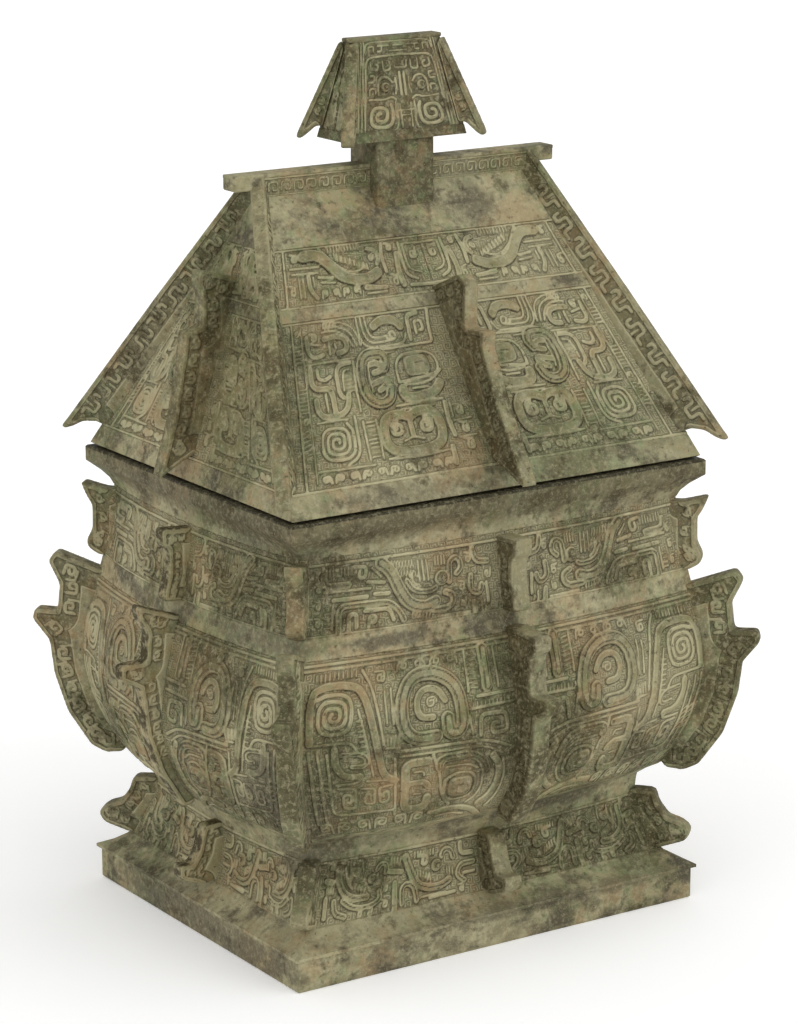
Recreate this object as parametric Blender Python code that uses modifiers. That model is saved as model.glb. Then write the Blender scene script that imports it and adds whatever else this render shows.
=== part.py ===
"""Bronze fangyi: a covered square wine vessel with a roof-shaped lid.

Two castings. "vessel" is the hollow foot, the bowed belly, the neck and the everted rim
with their hooked flanges. "lid" is the hollow hipped roof with its ridge bar, flanges,
stem and roof-shaped knob; it rests on the rim and lifts off.

The origin is at the centre of the underside. X runs along the long side and Z is up.
Both castings are symmetric, so one quarter is carved and then mirrored across X and Y.
Lengths are in millimetres until MM turns them into metres.
"""
from math import ceil, cos, pi, sin, sqrt

import bmesh
import bpy
from mathutils import Matrix, Vector

MM = 0.001
UP = (0.0, 0.0, 1.0)

# Driving dimensions, in millimetres.
SIDE_DIFFERENCE = 16.8      # half length less half width of the body
RIM_TOP = 184.1
SEAT_GAP = 0.3              # clearance between the rim and the lid
BOW_STEPS = 5               # facets across one bowed wall
HOLLOW_STEPS = 3            # the same inside
CORNER_FLANGE = 7.0         # thickness of the flanges on the corners
CENTRE_FLANGE = 8.5         # thickness of the flanges in the middle of the walls
ROOF_FLANGE = 6.5           # thickness of the flanges in the middle of the lid's slopes
FLANGE_SHIFT = 2.5          # how far the lid's centre flanges were cast off centre
KNOB_FLANGE = 5.0           # thickness of the flanges on the knob's hips
HIP_FLANGE = 6.0            # thickness of the flanges on the lid's hips
ROOT_SINK = 2.2             # how far a flange is let into its wall
RELIEF = 1.3                # height of the raised ornament
RELIEF_SINK = 1.0           # how far the ornament is let into the wall
BOSS_SIDES = 6
FACET = (36.0, 18.0)        # longest straight piece of an ornament band, across and up

# Body wall: height, half length at the corner, and how far the wall's middle bows out.
BODY = [
    (0.0, 94.0, 0.0), (12.6, 94.0, 0.0), (13.2, 95.6, 0.0), (14.4, 95.6, 0.0),
    (17.0, 90.2, 0.3), (20.0, 86.0, 1.0), (31.0, 81.7, 2.7), (44.4, 77.4, 5.5),
    (52.0, 78.0, 8.0), (56.5, 84.0, 10.0), (61.0, 87.7, 11.0), (70.0, 92.2, 12.0),
    (83.0, 96.6, 12.0), (97.0, 98.6, 10.8), (112.0, 97.6, 9.5), (124.0, 94.8, 8.9),
    (138.5, 91.6, 7.8), (154.0, 89.4, 7.5), (167.0, 87.7, 6.8),
    (171.0, 89.0, 4.4), (177.0, 95.0, 0.4), (177.8, 96.0, 0.0), (RIM_TOP, 96.0, 0.0),
]
# The two hollows of the body, given in the same way.
INSIDE = [
    (52.0, 70.0, 6.0), (58.0, 78.5, 8.5), (68.0, 86.5, 10.8), (83.0, 92.2, 10.8),
    (104.0, 94.0, 9.6), (138.0, 87.2, 7.5), (166.0, 83.7, 6.0), (177.0, 89.4, 0.0),
    (RIM_TOP + 2.0, 89.4, 0.0),
]
UNDER_FOOT = [
    (-2.0, 90.0, 0.0), (12.0, 89.0, 0.0), (20.0, 81.5, 1.0), (32.0, 77.2, 2.6),
    (46.5, 73.0, 5.0),
]

# Lid: half length, half width at the eaves and at the foot of the ridge.
EAVES = (RIM_TOP + SEAT_GAP, 95.0, 78.0)
EAVES_LIP = 1.0             # height of the small bevel under the eaves
RIDGE_FOOT = (292.0, 62.7, 4.6)
RIDGE_TOP = 301.6
RIDGE_BAR = (74.2, 4.6, 6.0)       # half length, half width, height of the projecting ends
ROOF_WALL = (4.2, 4.8)             # horizontal thickness of the short and the long slopes
SEAT_RIM = (88.4, 4.0, 7.4)        # half length, thickness and depth of the rim inside the mouth
CEILING = 285.0                    # top of the hollow under the roof
STEM = (13.3, 9.7)                 # half length and half width
RIDGE_SINK = 8.0                   # how far the ridge wall and the stem reach into the roof
KNOB_BASE = (311.0, 26.8, 12.4)
KNOB_TOP = (350.0, 20.0, 3.0)


def between(table, height):
    """Read a table of (height, value, value...) rows at one height."""
    rows = sorted(table)
    if height <= rows[0][0]:
        return rows[0][1:]
    for low, high in zip(rows, rows[1:]):
        if height <= high[0]:
            part = (height - low[0]) / (high[0] - low[0])
            return tuple(a + (b - a) * part for a, b in zip(low[1:], high[1:]))
    return rows[-1][1:]


def body_size(height):
    """Half length, half width and bow of the body at one height."""
    half, bow = between(BODY, height)
    return half, half - SIDE_DIFFERENCE, bow


def roof_size(height):
    """The same for the lid's roof, whose slopes are flat."""
    half_x, half_y = between([EAVES, RIDGE_FOOT], height)
    return half_x, half_y, 0.0


def knob_size(height):
    """The same for the knob's roof."""
    half_x, half_y = between([KNOB_BASE, KNOB_TOP], height)
    return half_x, half_y, 0.0


# ---------------------------------------------------------------- collections and materials

def clear_scene():
    for item in list(bpy.data.objects):
        bpy.data.objects.remove(item, do_unlink=True)


def collection(name):
    made = bpy.data.collections.new(name)
    bpy.context.scene.collection.children.link(made)
    return made


def bronze(name, colour):
    material = bpy.data.materials.new(name)
    material.use_nodes = True
    shader = material.node_tree.nodes["Principled BSDF"]
    shader.inputs["Base Color"].default_value = (*colour, 1.0)
    shader.inputs["Roughness"].default_value = 0.72
    shader.inputs["Metallic"].default_value = 0.35
    return material


def add_object(name, mesh, where, material=None):
    item = bpy.data.objects.new(name, mesh)
    where.objects.link(item)
    if material:
        mesh.materials.append(material)
    return item


def as_cutter(item):
    item.hide_render = True
    item.display_type = "WIRE"
    return item


# ---------------------------------------------------------------- lofts and flat outlines

def ring_points(half_x, half_y, bow, steps):
    """One closed level of a four-sided wall, anticlockwise from above."""
    points = []
    for turn in range(4):
        along, across = (half_x, half_y) if turn % 2 == 0 else (half_y, half_x)
        for step in range(steps):
            share = -1.0 + 2.0 * step / steps
            x, y = share * along, -(across + bow * (1.0 - share * share))
            for _ in range(turn):
                x, y = -y, x
            points.append((x, y))
    return points


def loft(name, levels, steps, where, material=None):
    """A closed solid through levels of (height, half length, half width, bow)."""
    shape = bmesh.new()
    rings = []
    for height, half_x, half_y, bow in levels:
        rings.append([shape.verts.new(Vector((x, y, height)) * MM)
                      for x, y in ring_points(half_x, half_y, bow, steps)])
    count = len(rings[0])
    for low, high in zip(rings, rings[1:]):
        for i in range(count):
            j = (i + 1) % count
            shape.faces.new((low[i], low[j], high[j], high[i]))
    shape.faces.new(list(reversed(rings[0])))
    shape.faces.new(rings[-1])
    bmesh.ops.recalc_face_normals(shape, faces=shape.faces)
    mesh = bpy.data.meshes.new(name)
    shape.to_mesh(mesh)
    shape.free()
    return add_object(name, mesh, where, material)


def square_levels(table):
    """Loft levels from a (height, half length, bow) table of the body."""
    return [(height, half, half - SIDE_DIFFERENCE, bow) for height, half, bow in table]


def plate(name, outline, thickness, origin, out_axis, up_axis, where):
    """A flat outline of (outward, upward) points, made a plate of even thickness."""
    curve = bpy.data.curves.new(name, "CURVE")
    curve.dimensions = "2D"
    curve.fill_mode = "BOTH"
    curve.extrude = thickness * MM / 2.0
    spline = curve.splines.new("POLY")
    spline.points.add(len(outline) - 1)
    for point, (out, height) in zip(spline.points, outline):
        point.co = (out * MM, height * MM, 0.0, 1.0)
    spline.use_cyclic_u = True
    guide = bpy.data.objects.new(name + "_outline", curve)
    where.objects.link(guide)
    axes = (out_axis, up_axis, Vector(out_axis).cross(Vector(up_axis)))
    turn = Matrix([Vector(axis).normalized() for axis in axes]).transposed().to_4x4()
    guide.matrix_world = Matrix.Translation(Vector(origin) * MM) @ turn
    bpy.context.view_layer.update()
    ready = guide.evaluated_get(bpy.context.evaluated_depsgraph_get())
    mesh = bpy.data.meshes.new_from_object(ready)
    shape = bmesh.new()
    shape.from_mesh(mesh)
    bmesh.ops.remove_doubles(shape, verts=shape.verts, dist=0.00001)
    bmesh.ops.recalc_face_normals(shape, faces=shape.faces)
    shape.to_mesh(mesh)
    shape.free()
    item = add_object(name, mesh, where)
    item.matrix_world = guide.matrix_world
    bpy.data.objects.remove(guide, do_unlink=True)
    return as_cutter(item)


def block(name, low, high, where):
    """A box between two corners."""
    centre = (Vector(low) + Vector(high)) * 0.5 * MM
    size = (Vector(high) - Vector(low)) * MM
    bpy.ops.mesh.primitive_cube_add(size=1.0, location=centre)
    item = bpy.context.object
    item.name = name
    item.data.transform(Matrix.Diagonal((*size, 1.0)))
    for old in list(item.users_collection):
        old.objects.unlink(item)
    where.objects.link(item)
    return as_cutter(item)


def boolean(target, tool, operation):
    step = target.modifiers.new(tool.name, "BOOLEAN")
    step.operation = operation
    step.solver = "EXACT"
    step.use_self = operation == "UNION"
    step.object = tool
    return step


def mirror_quarter(target):
    """Keep the quarter at -X and -Y and mirror it across both planes."""
    step = target.modifiers.new("four quarters", "MIRROR")
    step.use_axis = (True, True, False)
    step.use_bisect_axis = (True, True, False)
    step.use_bisect_flip_axis = (True, True, False)
    step.merge_threshold = 0.00005
    return step


# ---------------------------------------------------------------- raised ornament

class Panel:
    """Half of one wall, from the corner (u 0) to the centre flange (u 1)."""

    def __init__(self, size_at, side, low, high, corner_margin, centre_margin):
        self.size_at = size_at
        self.side = side
        self.low = low
        self.high = high
        self.corner_margin = corner_margin
        self.centre_margin = centre_margin
        middle = self.span((low + high) / 2.0)
        self.width = middle - corner_margin - centre_margin
        self.height = (self.surface(0.5, 1.0) - self.surface(0.5, 0.0)).length

    def span(self, height):
        half_x, half_y, _ = self.size_at(height)
        return half_x if self.side == "long" else half_y

    def surface(self, u, v):
        height = self.low + v * (self.high - self.low)
        half_x, half_y, bow = self.size_at(height)
        span = self.span(height)
        outer = span - self.corner_margin
        along = -(outer + (self.centre_margin - outer) * u)
        swell = bow * (1.0 - (along / span) ** 2)
        if self.side == "long":
            return Vector((along, -(half_y + swell), height))
        return Vector((-(half_x + swell), along, height))

    def place(self, flat, lift):
        """A point given in flat millimetres from the lower outer corner, lifted off."""
        u, v = flat[0] / self.width, flat[1] / self.height
        step = 0.01
        across = self.surface(u + step, v) - self.surface(u - step, v)
        upward = self.surface(u, v + step) - self.surface(u, v - step)
        normal = across.cross(upward).normalized()
        if self.side == "short":
            normal.negate()
        return self.surface(u, v) + normal * lift


def spiral(u, v, width, height, turns, start=0):
    """A squared spiral winding inwards, as shares of the panel.

    start picks the outer corner where the winding begins, counted from the lower left;
    a negative width winds it the other way.
    """
    corners = [(-0.5, -0.5), (-0.5, 0.5), (0.5, 0.5), (0.5, -0.5)]
    points = []
    steps = int(round(turns * 4))
    for step in range(steps + 1):
        shrink = 1.0 - step / (steps + 1.6)
        x, y = corners[(start + step) % 4]
        points.append((u + x * width * shrink, v + y * height * shrink))
    return points


def fine(path):
    """Split the long pieces of a flat path so that it can follow the wall."""
    points = [path[0]]
    for start, end in zip(path, path[1:]):
        reach = end - start
        pieces = ceil(max(abs(reach.x) / FACET[0], abs(reach.y) / FACET[1], 0.5))
        points += [start + (end - start) * (i / pieces) for i in range(1, pieces + 1)]
    return points


def band(shape, panel, path, width, lift=RELIEF):
    """Raise a flat-topped band along a path given in shares of the panel."""
    flat = fine([Vector((u * panel.width, v * panel.height)) for u, v in path])
    sections = []
    for i, point in enumerate(flat):
        ahead = flat[min(i + 1, len(flat) - 1)] - point
        behind = point - flat[max(i - 1, 0)]
        first = (behind if i else ahead).normalized()
        second = (ahead if i < len(flat) - 1 else behind).normalized()
        mid = (first + second).normalized()
        side = Vector((-mid.y, mid.x))
        reach = width / 2.0 / max(0.35, mid.dot(first))
        section = []
        for sign, height in ((-1, -RELIEF_SINK), (1, -RELIEF_SINK), (1, lift), (-1, lift)):
            section.append(shape.verts.new(panel.place(point + side * (sign * reach), height) * MM))
        sections.append(section)
    for low, high in zip(sections, sections[1:]):
        for i in range(4):
            j = (i + 1) % 4
            shape.faces.new((low[i], low[j], high[j], high[i]))
    shape.faces.new(list(reversed(sections[0])))
    shape.faces.new(sections[-1])


def boss(shape, panel, u, v, width, height, lift):
    """Raise a low rounded block, such as an eye."""
    centre = Vector((u * panel.width, v * panel.height))
    rings = []
    for grow, level in ((1.15, -RELIEF_SINK), (0.72, lift)):
        ring = []
        for step in range(BOSS_SIDES):
            angle = 2.0 * pi * step / BOSS_SIDES
            x = width / 2.0 * grow * cos(angle)
            y = height / 2.0 * grow * sin(angle) * 1.15
            ring.append(shape.verts.new(panel.place(centre + Vector((x, y)), level) * MM))
        rings.append(ring)
    for low, high in zip(rings, rings[1:]):
        for i in range(BOSS_SIDES):
            j = (i + 1) % BOSS_SIDES
            shape.faces.new((low[i], low[j], high[j], high[i]))
    shape.faces.new(list(reversed(rings[0])))
    shape.faces.new(rings[-1])


def belly_ornament(shape, panel):
    """Half of the large beast mask, with an upright dragon at the corner."""
    band(shape, panel, spiral(0.17, 0.71, 0.22, 0.30, 1.0, 3), 3.4)
    band(shape, panel, [(0.345, 0.93), (0.365, 0.48)], 3.2)
    band(shape, panel, spiral(0.585, 0.735, 0.25, 0.34, 1.25, 3), 4.6)
    band(shape, panel, [(0.80, 0.74), (0.95, 0.74)], 3.2)
    boss(shape, panel, 0.73, 0.31, 13.0, 9.5, 2.2)
    band(shape, panel, [(0.62, 0.42), (0.51, 0.42), (0.51, 0.20)], 3.4)
    band(shape, panel, [(0.12, 0.40), (0.38, 0.33), (0.38, 0.16)], 3.4)


def neck_ornament(shape, panel):
    """A dragon with a trunk, facing the centre flange."""
    band(shape, panel, [(0.38, 0.90), (0.42, 0.50), (0.60, 0.34)], 3.4)
    band(shape, panel, [(0.08, 0.30), (0.27, 0.62)], 3.2)
    boss(shape, panel, 0.70, 0.62, 8.0, 7.0, 1.8)


def foot_ornament(shape, panel):
    """The bodies of two small birds."""
    for start in (0.08, 0.55):
        band(shape, panel, [(start, 0.74), (start + 0.26, 0.34)], 3.6)


def roof_ornament(shape, panel):
    """Half of the beast mask on the lid, upside down to suit the roof."""
    band(shape, panel, spiral(0.57, 0.24, 0.36, 0.34, 1.25, 3), 4.4)
    boss(shape, panel, 0.62, 0.655, 13.0, 9.0, 2.2)
    band(shape, panel, [(0.76, 0.50), (0.36, 0.50), (0.36, 0.76)], 3.4)
    band(shape, panel, [(0.34, 0.90), (0.62, 0.86)], 3.4)
    for level in (0.16, 0.62):
        band(shape, panel, [(0.08, level), (0.24, level), (0.24, level + 0.2)], 3.0)


def roof_band_ornament(shape, panel):
    """A crested dragon in the narrow band under the ridge."""
    band(shape, panel, [(0.22, 0.88), (0.44, 0.30), (0.60, 0.34)], 3.2)
    band(shape, panel, [(0.68, 0.86), (0.82, 0.30)], 3.0)


def knob_ornament(shape, panel):
    """Paired scrolls on the knob's roof."""
    band(shape, panel, [(0.20, 0.34), (0.20, 0.10), (0.80, 0.10)], 1.7, 0.8)
    boss(shape, panel, 0.62, 0.60, 4.2, 4.2, 1.0)


def relief(name, drawn, where):
    """One hidden tool that holds all the raised ornament of a casting's quarter."""
    shape = bmesh.new()
    for draw, panel in drawn:
        draw(shape, panel)
    bmesh.ops.recalc_face_normals(shape, faces=shape.faces)
    mesh = bpy.data.meshes.new(name)
    shape.to_mesh(mesh)
    shape.free()
    return as_cutter(add_object(name, mesh, where))


# ---------------------------------------------------------------- flange outlines

def wall_root(side, low, high, steps):
    """Points let into the wall's middle or its corner, from the top downwards."""
    points = []
    for i in range(steps + 1):
        height = high + (low - high) * i / steps
        half_x, half_y, bow = body_size(height)
        out = {"long": half_y + bow, "short": half_x + bow, "corner": half_x}[side]
        points.append((out - ROOT_SINK, height))
    return points


def neck_flange(side):
    """Outer edge with a hook above, a hollow back and a flared foot."""
    if side == "corner":
        outer = [(91.8, 139.0), (95.3, 142.0), (95.8, 145.0), (93.9, 150.0), (93.8, 160.0),
                 (95.6, 164.0), (97.2, 169.6), (90.0, 167.0)]
    else:
        edge = {"long": 0.0, "short": SIDE_DIFFERENCE}[side]
        outer = [(edge + 84.0, 138.5), (edge + 90.5, 139.5), (edge + 89.8, 144.0),
                 (edge + 88.0, 150.0), (edge + 88.0, 159.5), (edge + 90.8, 161.5),
                 (edge + 91.2, 168.3), (edge + 80.0, 167.5)]
    return outer + wall_root(side, 139.5, 167.0, 1)


def belly_flange(side):
    """Outer edge with two hooks over a long curved keel; the long wall's hooks sit lower."""
    outer = {
        "corner": [(86.5, 56.0), (91.5, 55.3), (95.8, 58.2), (102.6, 72.0), (106.4, 88.0),
                   (107.6, 102.0), (112.6, 110.8), (111.8, 115.2), (105.0, 114.8),
                   (104.1, 126.0), (107.4, 135.6), (105.2, 139.8), (92.5, 133.4)],
        "long": [(79.0, 54.5), (87.8, 53.4), (97.0, 66.6), (102.4, 82.0), (104.4, 100.6),
                 (112.4, 104.4), (111.6, 109.6), (101.4, 109.2), (100.6, 123.8),
                 (104.3, 127.2), (104.3, 132.8), (87.0, 133.2)],
        "short": [(95.0, 55.6), (100.2, 54.4), (110.0, 70.2), (115.8, 87.0), (118.2, 106.0),
                  (126.8, 110.8), (126.6, 116.4), (115.6, 116.8), (114.6, 128.0),
                  (118.6, 134.6), (118.8, 139.6), (102.0, 133.4)],
    }[side]
    return outer + wall_root(side, 59.5, 132.6, 3)


def foot_flange(side):
    """Outer edge with one low hook."""
    if side == "corner":
        outer = [(84.8, 21.4), (92.3, 25.0), (94.0, 28.4), (93.3, 31.0), (91.0, 33.3),
                 (87.4, 34.8), (84.6, 40.0), (83.4, 45.5), (77.6, 46.0)]
    else:
        edge = {"long": 0.0, "short": SIDE_DIFFERENCE}[side]
        outer = [(edge + 75.5, 20.8), (edge + 85.4, 24.8), (edge + 85.8, 30.6),
                 (edge + 79.6, 30.0), (edge + 76.6, 35.0), (edge + 74.2, 44.9),
                 (edge + 66.0, 45.4)]
    return outer + wall_root(side, 22.0, 45.0, 2)


def roof_flange(side):
    """Centre flange of a slope: two hooks near the top and a tip that overhangs the rim."""
    if side == "long":
        outer = [(71.0, 195.5), (91.5, 187.8), (90.6, 190.6), (73.5, 217.0), (63.0, 237.4),
                 (64.2, 243.6), (51.4, 243.0), (51.6, 254.0), (51.8, 259.6), (46.8, 263.4),
                 (30.0, 256.4)]
    else:
        outer = [(91.5, 195.5), (106.8, 187.8), (106.0, 190.6), (100.0, 210.0), (95.0, 237.0),
                 (94.4, 243.2), (86.8, 244.6), (86.6, 257.0), (88.4, 260.4), (88.0, 267.0),
                 (72.5, 262.5)]
    root = []
    for height in (outer[-1][1], 226.0, outer[0][1]):
        half_x, half_y, _ = roof_size(height)
        root.append(((half_y if side == "long" else half_x) - ROOT_SINK - 0.6, height))
    return outer + root


def hip_frame(eaves, ridge):
    """Foot, outward axis, rising axis and length of the hip at -X and -Y.

    Both ends are (height, half length, half width). The outward axis is the mean of the
    normals of the two slopes, so it halves the angle between them.
    """
    foot = Vector((-eaves[1], -eaves[2], eaves[0]))
    rise = Vector((-ridge[1], -ridge[2], ridge[0])) - foot
    normal_x = Vector((-rise.z, 0.0, rise.x)).normalized()
    normal_y = Vector((0.0, -rise.z, rise.y)).normalized()
    return foot, normal_x + normal_y, rise, rise.length


def hip_flange(length):
    """Flange along a hip: (outward, along) points from the hooked tip up to the ridge."""
    return [(-3.2, 13.5), (2.4, 12.4), (7.0, 8.6), (9.2, 4.0), (11.6, 1.0), (13.2, 1.2),
            (12.8, 5.0), (9.2, length * 0.55), (5.2, length + 3.0), (-3.2, length - 3.0)]


def knob_hip(length):
    """The same along a hip of the knob."""
    return [(-1.6, 5.4), (1.2, 4.6), (4.6, -0.8), (6.4, -2.6), (7.8, -1.8), (7.4, 1.0),
            (1.2, length - 1.4), (-1.6, length - 3.4)]


# ---------------------------------------------------------------- the two castings

def make_vessel(where, tools, material):
    vessel = loft("vessel", square_levels(BODY), BOW_STEPS, where, material)
    panels = []
    for side in ("long", "short"):
        panels.append((foot_ornament, Panel(body_size, side, 21.0, 43.5, 6.0, 7.0)))
        panels.append((belly_ornament, Panel(body_size, side, 58.0, 132.5, 6.0, 7.0)))
        panels.append((neck_ornament, Panel(body_size, side, 140.0, 166.5, 6.0, 7.0)))
    boolean(vessel, relief("vessel_relief", panels, tools), "UNION")
    for kind, outline in (("foot", foot_flange), ("belly", belly_flange), ("neck", neck_flange)):
        for side, direction in (("long", (0.0, -1.0, 0.0)), ("short", (-1.0, 0.0, 0.0))):
            tool = plate(kind + "_flange_" + side, outline(side), CENTRE_FLANGE, (0.0, 0.0, 0.0),
                         direction, UP, tools)
            boolean(vessel, tool, "UNION")
        diagonal = [(out * sqrt(2.0), height) for out, height in outline("corner")]
        tool = plate(kind + "_flange_corner", diagonal, CORNER_FLANGE, (0.0, SIDE_DIFFERENCE, 0.0),
                     (-1.0, -1.0, 0.0), UP, tools)
        boolean(vessel, tool, "UNION")
    mirror_quarter(vessel)
    for name, table in (("inside", INSIDE), ("under_foot", UNDER_FOOT)):
        hollow = as_cutter(loft(name, square_levels(table), HOLLOW_STEPS, tools))
        boolean(vessel, hollow, "DIFFERENCE")
    return vessel


def make_lid(where, tools, material):
    base, eaves_x, eaves_y = EAVES
    top, ridge_x, ridge_y = RIDGE_FOOT
    rim_x, rim_wall, rim_depth = SEAT_RIM
    bevel = EAVES_LIP * 2.5
    lid = loft("lid", [
        (base - rim_depth, rim_x, rim_x - SIDE_DIFFERENCE, 0.0),
        (base, rim_x, rim_x - SIDE_DIFFERENCE, 0.0),
        (base, eaves_x - bevel, eaves_y - bevel, 0.0),
        (base + EAVES_LIP, eaves_x, eaves_y, 0.0),
        (top, ridge_x, ridge_y, 0.0),
        (RIDGE_TOP, ridge_x, ridge_y, 0.0),
    ], 1, where, material)
    panels = []
    for side in ("long", "short"):
        panels.append((roof_ornament, Panel(roof_size, side, 194.5, 249.0, 7.5, 6.0)))
        panels.append((roof_band_ornament, Panel(roof_size, side, 255.0, 273.5, 7.0, 2.0)))
    panels.append((knob_ornament, Panel(knob_size, "long", 312.5, 343.0, 4.0, 1.0)))
    half_bar, bar_y, bar_height = RIDGE_BAR
    parts = [
        block("ridge_wall", (-ridge_x - 3.0, -ridge_y, top - RIDGE_SINK),
              (ridge_x + 3.0, ridge_y, RIDGE_TOP), tools),
        block("ridge_bar", (-half_bar, -bar_y, RIDGE_TOP - bar_height),
              (half_bar, bar_y, RIDGE_TOP), tools),
        block("stem", (-STEM[0], -STEM[1], top - RIDGE_SINK),
              (STEM[0], STEM[1], KNOB_BASE[0] + 2.0), tools),
        as_cutter(loft("knob", [(*KNOB_BASE, 0.0), (*KNOB_TOP, 0.0)], 1, tools)),
        block("knob_ridge", (-KNOB_TOP[1] - 1.0, -KNOB_TOP[2], KNOB_TOP[0] - 5.0),
              (KNOB_TOP[1] + 1.0, KNOB_TOP[2], KNOB_TOP[0]), tools),
        relief("lid_relief", panels, tools),
    ]
    for name, outline, thickness, ends in (("hip_flange", hip_flange, HIP_FLANGE, (EAVES, RIDGE_FOOT)),
                                           ("knob_hip", knob_hip, KNOB_FLANGE, (KNOB_BASE, KNOB_TOP))):
        foot, outward, rising, length = hip_frame(*ends)
        parts.append(plate(name, outline(length), thickness, foot, outward, rising, tools))
    for tool in parts:
        boolean(lid, tool, "UNION")
    mirror_quarter(lid)
    for sign in (-1.0, 1.0):
        for side, direction, shift in (("long", (0.0, sign, 0.0), (-sign * FLANGE_SHIFT, 0.0, 0.0)),
                                       ("short", (sign, 0.0, 0.0), (0.0, -sign * FLANGE_SHIFT, 0.0))):
            name = "roof_flange_%s_%d" % (side, sign)
            tool = plate(name, roof_flange(side), ROOF_FLANGE, shift, direction, UP, tools)
            boolean(lid, tool, "UNION")
    wall_x, wall_y = ROOF_WALL
    ceiling_x, ceiling_y, _ = roof_size(CEILING)
    low_x, low_y, _ = roof_size(base + 3.0)
    seat_x = rim_x - rim_wall
    hollow = as_cutter(loft("under_roof", [
        (base - rim_depth - 2.0, seat_x, seat_x - SIDE_DIFFERENCE, 0.0),
        (base + 3.0, seat_x, seat_x - SIDE_DIFFERENCE, 0.0),
        (base + 6.0, low_x - wall_x - 2.0, low_y - wall_y - 3.0, 0.0),
        (CEILING, ceiling_x - wall_x, ceiling_y - wall_y, 0.0),
    ], 1, tools))
    boolean(lid, hollow, "DIFFERENCE")
    return lid


def main():
    clear_scene()
    parts = collection("fangyi vessel")
    tools = collection("cutters")
    make_vessel(parts, tools, bronze("vessel bronze", (0.20, 0.20, 0.14)))
    make_lid(parts, tools, bronze("lid bronze", (0.23, 0.22, 0.15)))


main()
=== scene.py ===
"""Bronze fangyi: a covered square wine vessel with carved walls, hooked flanges and a patina.

Laid out as an add-on and run as a script. Each operator makes one group of castings over
the frame, and the panel lists them. Shapes are given in design millimetres, and UNIT turns
those into metres from the height of the frame. The ornament is drawn flat, as strokes on
half a wall, and every wall shows it twice, mirrored about its middle flange.
"""
from math import ceil, cos, pi, radians, sin, sqrt

import bmesh
import bpy
import numpy as np
from mathutils import Matrix, Vector


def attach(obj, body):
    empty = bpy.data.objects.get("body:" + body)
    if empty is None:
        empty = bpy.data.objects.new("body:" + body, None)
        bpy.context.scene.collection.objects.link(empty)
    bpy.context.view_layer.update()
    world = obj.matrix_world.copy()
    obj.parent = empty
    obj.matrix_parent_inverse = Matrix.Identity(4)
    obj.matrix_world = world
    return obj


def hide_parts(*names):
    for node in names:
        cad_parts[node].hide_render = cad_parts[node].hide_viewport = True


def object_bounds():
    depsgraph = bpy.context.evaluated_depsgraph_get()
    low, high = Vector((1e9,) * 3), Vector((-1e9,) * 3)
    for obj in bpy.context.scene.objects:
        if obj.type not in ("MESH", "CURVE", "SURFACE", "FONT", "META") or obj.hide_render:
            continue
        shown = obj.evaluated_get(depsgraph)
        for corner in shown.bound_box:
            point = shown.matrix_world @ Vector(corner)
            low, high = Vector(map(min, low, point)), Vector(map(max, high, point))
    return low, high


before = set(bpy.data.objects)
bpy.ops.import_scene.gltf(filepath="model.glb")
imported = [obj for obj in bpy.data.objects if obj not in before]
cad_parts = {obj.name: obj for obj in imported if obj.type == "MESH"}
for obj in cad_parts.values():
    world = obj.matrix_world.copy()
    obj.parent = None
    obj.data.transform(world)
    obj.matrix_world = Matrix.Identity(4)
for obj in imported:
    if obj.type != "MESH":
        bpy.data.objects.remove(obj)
CAD_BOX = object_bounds()

bl_info = {
    "name": "Bronze Fangyi",
    "version": (1, 0, 0),
    "blender": (4, 5, 0),
    "location": "View3D > Sidebar > Fangyi",
    "description": "Builds a covered square bronze vessel with cast ornament and patina",
    "category": "Add Mesh",
}

DESIGN_HEIGHT = 350.0
UNIT = (CAD_BOX[1].z - CAD_BOX[0].z) / DESIGN_HEIGHT
UP = Vector((0.0, 0.0, 1.0))
TURNS = {"front": 0, "right": 1, "back": 2, "left": 3}
LONG_SIDES = ("front", "back")

# The body: height, half length at the corner, and how far the wall's middle bows out.
SIDE_DIFFERENCE = 16.8
RIM_TOP = 184.1
BODY = np.array([
    (0.0, 94.0, 0.0), (12.6, 94.0, 0.0), (13.2, 95.6, 0.0), (14.4, 95.6, 0.0),
    (17.0, 90.2, 0.3), (20.0, 86.0, 1.0), (31.0, 81.7, 2.7), (44.4, 77.4, 5.5),
    (52.0, 78.0, 8.0), (56.5, 84.0, 10.0), (61.0, 87.7, 11.0), (70.0, 92.2, 12.0),
    (83.0, 96.6, 12.0), (97.0, 98.6, 10.8), (112.0, 97.6, 9.5), (124.0, 94.8, 8.9),
    (138.5, 91.6, 7.8), (154.0, 89.4, 7.5), (167.0, 87.7, 6.8),
    (171.0, 89.0, 4.4), (177.0, 95.0, 0.4), (177.8, 96.0, 0.0), (RIM_TOP, 96.0, 0.0),
])
INSIDE = np.array([
    (52.0, 70.0, 6.0), (58.0, 78.5, 8.5), (68.0, 86.5, 10.8), (83.0, 92.2, 10.8),
    (104.0, 94.0, 9.6), (138.0, 87.2, 7.5), (166.0, 83.7, 6.0), (177.0, 89.4, 0.0),
    (RIM_TOP, 89.4, 0.0),
])
UNDER_FOOT = np.array([
    (0.0, 89.9, 0.0), (12.0, 89.0, 0.0), (20.0, 81.5, 1.0), (32.0, 77.2, 2.6),
    (46.5, 73.0, 5.0),
])
ZONE_STEP = 0.9             # height over which the plain wall drops under a carved slab
LET_IN = 0.9                # how far it drops
SLAB_DEPTH = 1.8            # how far a carved slab reaches into the wall
CELL = 8.0                  # largest square of a slab before its front is cut finely
ALL_SMOOTH = 179.0          # smoothing angle in degrees that leaves no hard edge on a carved slab
SPIRAL_PITCH = 3.7          # distance between the small spirals of the ground
HALF_SHIFT = 211.0          # moves the ground pattern of one half, so that the halves differ
FAR = 3.0                   # distance to an edge or a line where there is none near
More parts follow.
